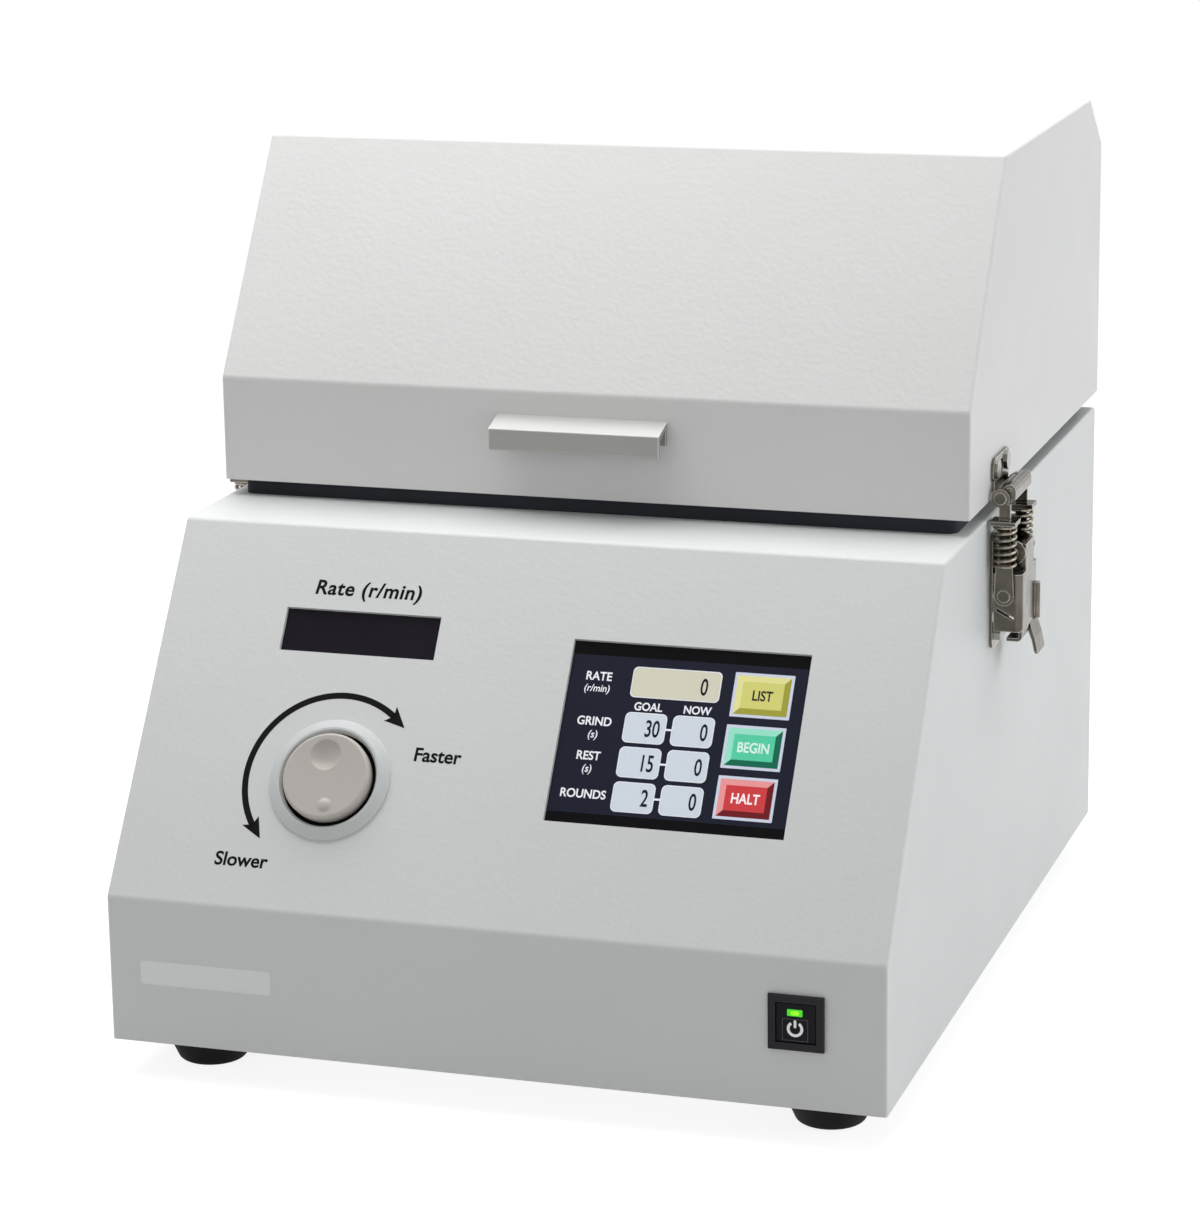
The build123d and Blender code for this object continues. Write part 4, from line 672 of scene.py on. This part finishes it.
for index, button in enumerate(screen["buttons"]):
    left, low, right, high = button["box"]
    border, bevel = screen["border"], screen["bevel"]
    onScreen(f"button_{index}_frame", [roundedBox(left, low, right, high, 0.2, 2)], 1, inks["frame"])
    left, low, right, high = left + border, low + border, right - border, high - border
    inner = (left + bevel, low + bevel, right - bevel, high - bevel)
    corners = [(left, low), (right, low), (right, high), (left, high)]
    insides = [(inner[0], inner[1]), (inner[2], inner[1]), (inner[2], inner[3]), (inner[0], inner[3])]
    sides = [[corners[k], corners[(k + 1) % 4], insides[(k + 1) % 4], insides[k]] for k in range(4)]
    dim = litFinish(f"lit_dim_{index}", button["dim"])
    light = litFinish(f"lit_light_{index}", button["light"])
    onScreen(f"button_{index}_shadow", sides[0:2], 2, dim)
    onScreen(f"button_{index}_light", sides[2:4], 2, light)
    onScreen(f"button_{index}_face", [insides], 2, litFinish(f"lit_face_{index}", button["face"]))
    word = screen["word"]
    screenWords(
        f"button_{index}_word", button["word"], ((left + right) / 2, (low + high) / 2 - word["drop"]),
        word["size"], 3, litFinish(f"lit_word_{index}", button["ink"]), word["look"],
    )
print("stage: touch screen picture")

# Power button: sign and light bar
power = {
    "face": 0.8, "centre": (104.9, 27.5), "radius": 2.25, "width": 0.95, "sweep": (125, 415),
    "bar": (-0.45, 0.3, 0.45, 3.0), "steps": 40,
    "square": (100.6, 23.4, 109.2, 30.9), "line": 0.22, "lineThick": 0.02, "layer": 0.03,
    "lamp": (102.3, 31.8, 107.4, 34.1), "lampSink": 0.02, "lampThick": 0.08,
    "core": (103.4, 32.2, 106.3, 33.6), "coreLift": 0.05,
    "rounds": {"bar": 0.4, "line": 0.05, "lamp": 0.25, "core": 0.6},
    "signLook": {
        "colour": (240, 240, 242), "shade": (234, 234, 236), "roughness": (0.4, 0.5),
        "glow": (255, 255, 255), "glowStrength": 0.12,
    },
    "lineLook": {"colour": (54, 52, 58), "roughness": (0.3, 0.4)},
    "lampLook": {
        "colour": (60, 200, 20), "shade": (40, 170, 12), "roughness": (0.2, 0.3), "mottleScale": 300.0,
        "glow": (70, 225, 10), "glowStrength": 0.55,
    },
    "coreLook": {
        "colour": (150, 240, 20), "shade": (120, 230, 16), "roughness": (0.2, 0.3), "mottleScale": 300.0,
        "glow": (150, 255, 0), "glowStrength": 0.6,
    },
}
signX, signZ = power["centre"]
rounds = power["rounds"]
# The white sign also glows faintly, a painted glow that brightens the print
plates(
    "power_sign",
    arcBand(power["centre"], power["radius"], power["width"], *power["sweep"], power["steps"])
    + [[(signX + x, signZ + z) for x, z in roundedBox(*power["bar"], rounds["bar"], 4)]],
    frontFace, power["face"], power["layer"], makeFinish("whiteInk", power["signLook"]), "power_button",
)
left, low, right, high = power["square"]
line = power["line"]
squareSides = [
    (left, low, right, low + line), (left, high - line, right, high),
    (left, low + line, left + line, high - line), (right - line, low + line, right, high - line),
]
plates(
    "power_sign_square", [roundedBox(*side, rounds["line"], 1) for side in squareSides], frontFace,
    power["face"], power["lineThick"], makeFinish("faintLine", power["lineLook"]), "power_button",
)
plates(
    "power_lamp", [roundedBox(*power["lamp"], rounds["lamp"], 3)], frontFace,
    power["face"] - power["lampSink"], power["lampThick"], makeFinish("lampGreen", power["lampLook"]),
    "power_button",
)
plates(
    "power_lamp_core", [roundedBox(*power["core"], rounds["core"], 4)], frontFace,
    power["face"] + power["coreLift"], power["layer"], makeFinish("lampCore", power["coreLook"]),
    "power_button",
)
print("stage: power button")


# Turned and moulded pieces with smooth outlines
def softCorners(points, steps=5):
    # Each point is x, y and the radius that rounds it
    outline = []
    for here, (x, y, radius) in enumerate(points):
        if not radius:
            outline.append((x, y))
            continue
        corner = Vector((x, y))
        before = (Vector(points[here - 1][:2]) - corner).normalized()
        after = (Vector(points[(here + 1) % len(points)][:2]) - corner).normalized()
        half = before.angle(after) / 2
        reach = radius / math.tan(half)
        centre = corner + (before + after).normalized() * (radius / math.sin(half))
        first, last = corner + before * reach - centre, corner + after * reach - centre
        sweep = first.angle_signed(last)
        for step in range(steps + 1):
            spoke = first.copy()
            spoke.rotate(Matrix.Rotation(-sweep * step / steps, 2))
            outline.append(tuple(centre + spoke))
    return outline


def finishMesh(name, shape, sharp=35.0):
    bmesh.ops.remove_doubles(shape, verts=shape.verts, dist=0.000001)
    bmesh.ops.recalc_face_normals(shape, faces=shape.faces)
    mesh = bpy.data.meshes.new(name)
    shape.to_mesh(mesh)
    shape.free()
    mesh.shade_smooth()
    mesh.set_sharp_from_angle(angle=math.radians(sharp))
    return mesh


def lathe(shape, profile, where, sides):
    # The closed profile is a list of radius and height in millimetres
    rows = []
    for side in range(sides):
        angle = 2 * math.pi * side / sides
        rows.append(
            [
                shape.verts.new(where @ (Vector((r * math.cos(angle), r * math.sin(angle), z)) * millimetre))
                for r, z in profile
            ]
        )
    for side in range(sides):
        here, there = rows[side], rows[(side + 1) % sides]
        for step in range(len(profile)):
            after = (step + 1) % len(profile)
            shape.faces.new((here[step], there[step], there[after], here[after]))


foot = {
    "x": 109.75, "front": -144.4, "back": 140.1, "height": 13.0, "top": 17.0, "tread": 11.3, "round": 2.6,
    "bore": 2.55, "recess": (5.2, 4.0), "recessRound": 0.4, "sides": 64,
}
feetShape = bmesh.new()
recessRadius, recessTop = foot["recess"]
footProfile = softCorners(
    [
        (foot["bore"], recessTop, 0),
        (recessRadius, recessTop, 0),
        (recessRadius, 0, foot["recessRound"]),
        (foot["tread"], 0, foot["round"]),
        (foot["top"], foot["height"], 0),
        (foot["bore"], foot["height"], 0),
    ]
)
for x in (-foot["x"], foot["x"]):
    for y in (foot["front"], foot["back"]):
        lathe(feetShape, footProfile, Matrix.Translation(Vector((x, y, 0)) * millimetre), foot["sides"])
rubberFeet = addPiece(
    "rubber_feet", finishMesh("rubber_feet", feetShape), finishes["foot_rubber"], "base"
)
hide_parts("feet")

bezel = {
    "centre": (-63.5, 46.8), "outer": 21.3, "edge": 0.9, "crest": 18.1, "height": 2.6, "lip": 17.3,
    "inner": 16.5, "throat": 1.3, "sides": 96,
    "gap": {"inner": 12.0, "low": 0.02, "high": 0.3, "play": 0.02},
    "gapShadeLook": {"colour": (8, 8, 10), "shade": (6, 6, 8), "roughness": (0.7, 0.8), "specular": 0.05},
}
onKnob = slopeFace @ Matrix.Translation(Vector((*bezel["centre"], 0)) * millimetre)
bezelShape = bmesh.new()
lathe(
    bezelShape,
    softCorners(
        [
            (bezel["inner"], 0, 0),
            (bezel["outer"], 0, 0),
            (bezel["outer"], bezel["edge"], 0.35),
            (bezel["crest"], bezel["height"], 0.5),
            (bezel["lip"], bezel["height"], 0.25),
            (bezel["inner"], bezel["throat"], 0),
        ]
    ),
    onKnob, bezel["sides"],
)
dialBezel = addPiece(
    "dial_bezel", finishMesh("dial_bezel", bezelShape), finishes["pale_plastic"], "base"
)
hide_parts("knob_bezel")
# A near-black ring in the gap between knob and bezel paints the shade that falls there
gap = bezel["gap"]
gapOuter = bezel["inner"] - gap["play"]
gapShape = bmesh.new()
gapProfile = [
    (gap["inner"], gap["low"]), (gapOuter, gap["low"]), (gapOuter, gap["high"]), (gap["inner"], gap["high"]),
]
lathe(gapShape, gapProfile, onKnob, bezel["sides"])
addPiece(
    "dial_gap_shade_ring", finishMesh("dial_gap_shade_ring", gapShape), makeFinish("paintedGapShade", bezel["gapShadeLook"]), "base",
)

knob = {
    "radius": 15.2, "low": 0.5, "top": 5.5, "round": 1.3, "roundSteps": 6, "dish": 0.45, "draft": 0.1,
    "rings": 40, "sides": 120, "sharp": 50.0, "markFall": 1.2,
    "dimple": {"spot": (-1.28, 7.29), "radius": 5.2, "depth": 2.1},
    "nub": {"spot": (1.6, -10.2), "radius": 2.2, "depth": -1.0},
}


def knobHeight(x, y):
    # A shallow dish with one finger dimple and one raised dot
    height = knob["top"] - knob["dish"] * (1 - (x * x + y * y) / knob["radius"] ** 2)
    for mark in (knob["dimple"], knob["nub"]):
        away = math.hypot(x - mark["spot"][0], y - mark["spot"][1]) / mark["radius"]
        if away < 1:
            height -= mark["depth"] * math.sqrt(1 - away * away) ** knob["markFall"]
    return height


knobShape = bmesh.new()
faceRadius = knob["radius"] - knob["round"]
levels = []
for ring in range(1, knob["rings"] + 1):
    levels.append((faceRadius * ring / knob["rings"], None))
for step in range(1, knob["roundSteps"] + 1):
    angle = math.pi / 2 * step / knob["roundSteps"]
    drop = knob["round"] * (1 - math.cos(angle))
    levels.append((faceRadius + knob["round"] * math.sin(angle), knob["top"] - drop))
levels.append((knob["radius"] - knob["draft"], knob["low"]))
rows = []
for radius, level in levels:
    row = []
    for side in range(knob["sides"]):
        angle = 2 * math.pi * side / knob["sides"]
        x, y = radius * math.cos(angle), radius * math.sin(angle)
        height = knobHeight(x, y) if level is None else level
        row.append(knobShape.verts.new(onKnob @ (Vector((x, y, height)) * millimetre)))
    rows.append(row)
middle = knobShape.verts.new(onKnob @ (Vector((0, 0, knobHeight(0, 0))) * millimetre))
for side in range(knob["sides"]):
    after = (side + 1) % knob["sides"]
    knobShape.faces.new((middle, rows[0][side], rows[0][after]))
    for inner, outer in zip(rows, rows[1:]):
        knobShape.faces.new((inner[side], outer[side], outer[after], inner[after]))
knobShape.faces.new(rows[-1][::-1])
dialKnob = addPiece(
    "dial_knob", finishMesh("dial_knob", knobShape, knob["sharp"]), finishes["knob_plastic"], "speed_knob",
)
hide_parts("speed_knob")

seal = {
    "half": 129.6, "front": -52.2, "back": 163.1, "low": 177.0, "high": 182.4, "width": 9.0, "corner": 4.0,
    "innerCorner": 1.0,
}
sealShape = bmesh.new()
loops = []
for inset, level in ((0.0, "low"), (0.0, "high"), (seal["width"], "high"), (seal["width"], "low")):
    corner = max(seal["corner"] - inset, seal["innerCorner"])
    outline = roundedBox(
        -seal["half"] + inset, seal["front"] + inset, seal["half"] - inset, seal["back"] - inset, corner, 6
    )
    loops.append([sealShape.verts.new(Vector((x, y, seal[level])) * millimetre) for x, y in outline])
for first, second in zip(loops, loops[1:] + loops[:1]):
    for here in range(len(first)):
        there = (here + 1) % len(first)
        sealShape.faces.new((first[here], first[there], second[there], second[here]))
lidSeal = addPiece(
    "lid_seal", finishMesh("lid_seal", sealShape), finishes["gasket_rubber"], "base"
)
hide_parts("lid_gasket")
print("stage: feet, dial and seal")

# Latch springs in round wire
spring = {
    "x": 140.5, "y": -10.9, "spread": 13.9, "low": 159.8, "high": 175.0, "radius": 3.6, "wire": 0.64,
    "turns": 7.0, "steps": 28, "flat": 0.09, "creep": 0.06,
}


def springCoils(sideName, sign):
    curve = bpy.data.curves.new(f"spring_coils_{sideName}", "CURVE")
    curve.dimensions = "3D"
    curve.bevel_depth = spring["wire"] * millimetre
    curve.bevel_resolution = 4
    curve.use_fill_caps = True
    total = int(spring["turns"] * spring["steps"])
    for end in (-1, 1):
        line = curve.splines.new("POLY")
        line.points.add(total)
        for step in range(total + 1):
            share = step / total
            # The first and last turn lie nearly flat against their seats
            rise = min(max((share - spring["flat"]) / (1 - 2 * spring["flat"]), 0.0), 1.0)
            rise = spring["creep"] * share + (1 - spring["creep"]) * rise
            angle = 2 * math.pi * spring["turns"] * share * sign + math.pi / 2
            first, last = spring["low"] + spring["wire"], spring["high"] - spring["wire"]
            level = first + (last - first) * rise
            line.points[step].co = (
                (sign * spring["x"] + spring["radius"] * math.cos(angle)) * millimetre,
                (spring["y"] + end * spring["spread"] + spring["radius"] * math.sin(angle)) * millimetre,
                level * millimetre,
                1.0,
            )
    piece = addPiece(
        f"spring_coils_{sideName}", curve, finishes["spring_steel"], f"latch_hook_{sideName}"
    )
    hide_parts(f"latch_springs_{sideName}")


springCoils("right", 1)
springCoils("left", -1)
print("stage: latch springs")

# Studio: floor, soft light, camera
studio = {
    "floorSize": 12.0, "floorColour": 0.56, "floorShow": 0.3, "floorGlow": 0.87,
    "ambient": 0.41, "horizon": 1.0, "zenith": 0.3, "band": (0.42, 0.7),
    "lamps": (
        {
            "name": "overhead", "spot": (-0.1, 0.13, 0.85), "aim": (0.0, 0.05, 0.3), "size": (1.1, 0.9),
            "watts": 8.2, "colour": (1.0, 1.0, 1.0),
        },
        {
            "name": "rightSide", "spot": (1.9, 0.35, 0.7), "aim": (0.0, 0.0, 0.15), "size": (1.4, 1.2),
            "watts": 12.1, "colour": (0.96, 1.0, 1.0),
        },
        {
            "name": "leftFront", "spot": (-1.6, -2.2, 1.0), "aim": (0.0, 0.0, 0.15), "size": (1.6, 1.2),
            "watts": 2.0, "colour": (1.0, 1.0, 1.0),
        },
    ),
    "camera": {
        "spot": (0.4180, -1.3416, 0.4942), "turn": (75.529, 0.825, 17.630), "sensor": 36.0, "lens": 119.52,
    },
}
floorMesh = bpy.data.meshes.new("floor")
half = studio["floorSize"] / 2
floorCorners = [(-half, -half, 0), (half, -half, 0), (half, half, 0), (-half, half, 0)]
floorMesh.from_pydata(floorCorners, [], [(0, 1, 2, 3)])
floor = bpy.data.objects.new("floor", floorMesh)
bpy.context.scene.collection.objects.link(floor)


def seenRay(tree):
    # One where a camera, mirror or glass ray looks, so that all see the same pale ground
    path = place(tree, "ShaderNodeLightPath")
    first = place(tree, "ShaderNodeMath", operation="MAXIMUM")
    second = place(tree, "ShaderNodeMath", operation="MAXIMUM")
    join(
        tree,
        [
            (path.outputs["Is Camera Ray"], first.inputs[0]),
            (path.outputs["Is Glossy Ray"], first.inputs[1]),
            (first.outputs[0], second.inputs[0]),
            (path.outputs["Is Transmission Ray"], second.inputs[1]),
        ],
    )
    return second.outputs[0]


floorPaint = bpy.data.materials.new("paleFloor")
floorPaint.use_nodes = True
tree = floorPaint.node_tree
tree.nodes.clear()
output = place(tree, "ShaderNodeOutputMaterial")
plain = place(tree, "ShaderNodeBsdfDiffuse", Color=(*[studio["floorColour"]] * 3, 1.0))
shown = place(tree, "ShaderNodeBsdfDiffuse", Color=(*[studio["floorShow"]] * 3, 1.0))
glow = place(tree, "ShaderNodeEmission", Color=(1.0, 1.0, 1.0, 1.0), Strength=studio["floorGlow"])
both = place(tree, "ShaderNodeAddShader")
choose = place(tree, "ShaderNodeMixShader")
join(
    tree,
    [
        (shown.outputs[0], both.inputs[0]),
        (glow.outputs[0], both.inputs[1]),
        (seenRay(tree), choose.inputs[0]),
        (plain.outputs[0], choose.inputs[1]),
        (both.outputs[0], choose.inputs[2]),
        (choose.outputs[0], output.inputs[0]),
    ],
)
floorMesh.materials.append(floorPaint)

world = bpy.data.worlds.new("studio")
bpy.context.scene.world = world
world.use_nodes = True
tree = world.node_tree
background = tree.nodes["Background"]
background.inputs["Color"].default_value = (1.0, 1.0, 1.0, 1.0)
# Mirrors see a bright band round the horizon under a darker ceiling
path = place(tree, "ShaderNodeLightPath")
where = place(tree, "ShaderNodeTexCoord")
parts = place(tree, "ShaderNodeSeparateXYZ")
bandLow, bandHigh = studio["band"]
ceiling = place(
    tree, "ShaderNodeMapRange", clamp=True, From_Min=bandLow, From_Max=bandHigh,
    To_Min=studio["horizon"], To_Max=studio["zenith"],
)
mirrored = place(tree, "ShaderNodeMath", operation="MAXIMUM")
strength = place(tree, "ShaderNodeMix", data_type="FLOAT", A=studio["ambient"])
shown = place(tree, "ShaderNodeMix", data_type="FLOAT", B=1.0)
join(
    tree,
    [
        (where.outputs["Generated"], parts.inputs[0]),
        (parts.outputs["Z"], ceiling.inputs["Value"]),
        (path.outputs["Is Glossy Ray"], mirrored.inputs[0]),
        (path.outputs["Is Transmission Ray"], mirrored.inputs[1]),
        (mirrored.outputs[0], strength.inputs["Factor"]),
        (ceiling.outputs[0], strength.inputs["B"]),
        (path.outputs["Is Camera Ray"], shown.inputs["Factor"]),
        (strength.outputs[0], shown.inputs["A"]),
        (shown.outputs[0], background.inputs["Strength"]),
    ],
)

for lamp in studio["lamps"]:
    light = bpy.data.lights.new(lamp["name"], "AREA")
    light.shape = "RECTANGLE"
    light.size, light.size_y = lamp["size"]
    light.energy = lamp["watts"]
    light.color = lamp["colour"]
    holder = bpy.data.objects.new(lamp["name"], light)
    bpy.context.scene.collection.objects.link(holder)
    holder.location = lamp["spot"]
    holder.rotation_euler = (Vector(lamp["aim"]) - Vector(lamp["spot"])).to_track_quat("-Z", "Y").to_euler()

cameraData = bpy.data.cameras.new("camera")
cameraData.sensor_width = studio["camera"]["sensor"]
cameraData.lens = studio["camera"]["lens"]
camera = bpy.data.objects.new("camera", cameraData)
bpy.context.scene.collection.objects.link(camera)
camera.location = studio["camera"]["spot"]
camera.rotation_euler = [math.radians(angle) for angle in studio["camera"]["turn"]]
bpy.context.scene.camera = camera
bpy.context.scene.view_settings.view_transform = "Standard"
print("stage: studio")
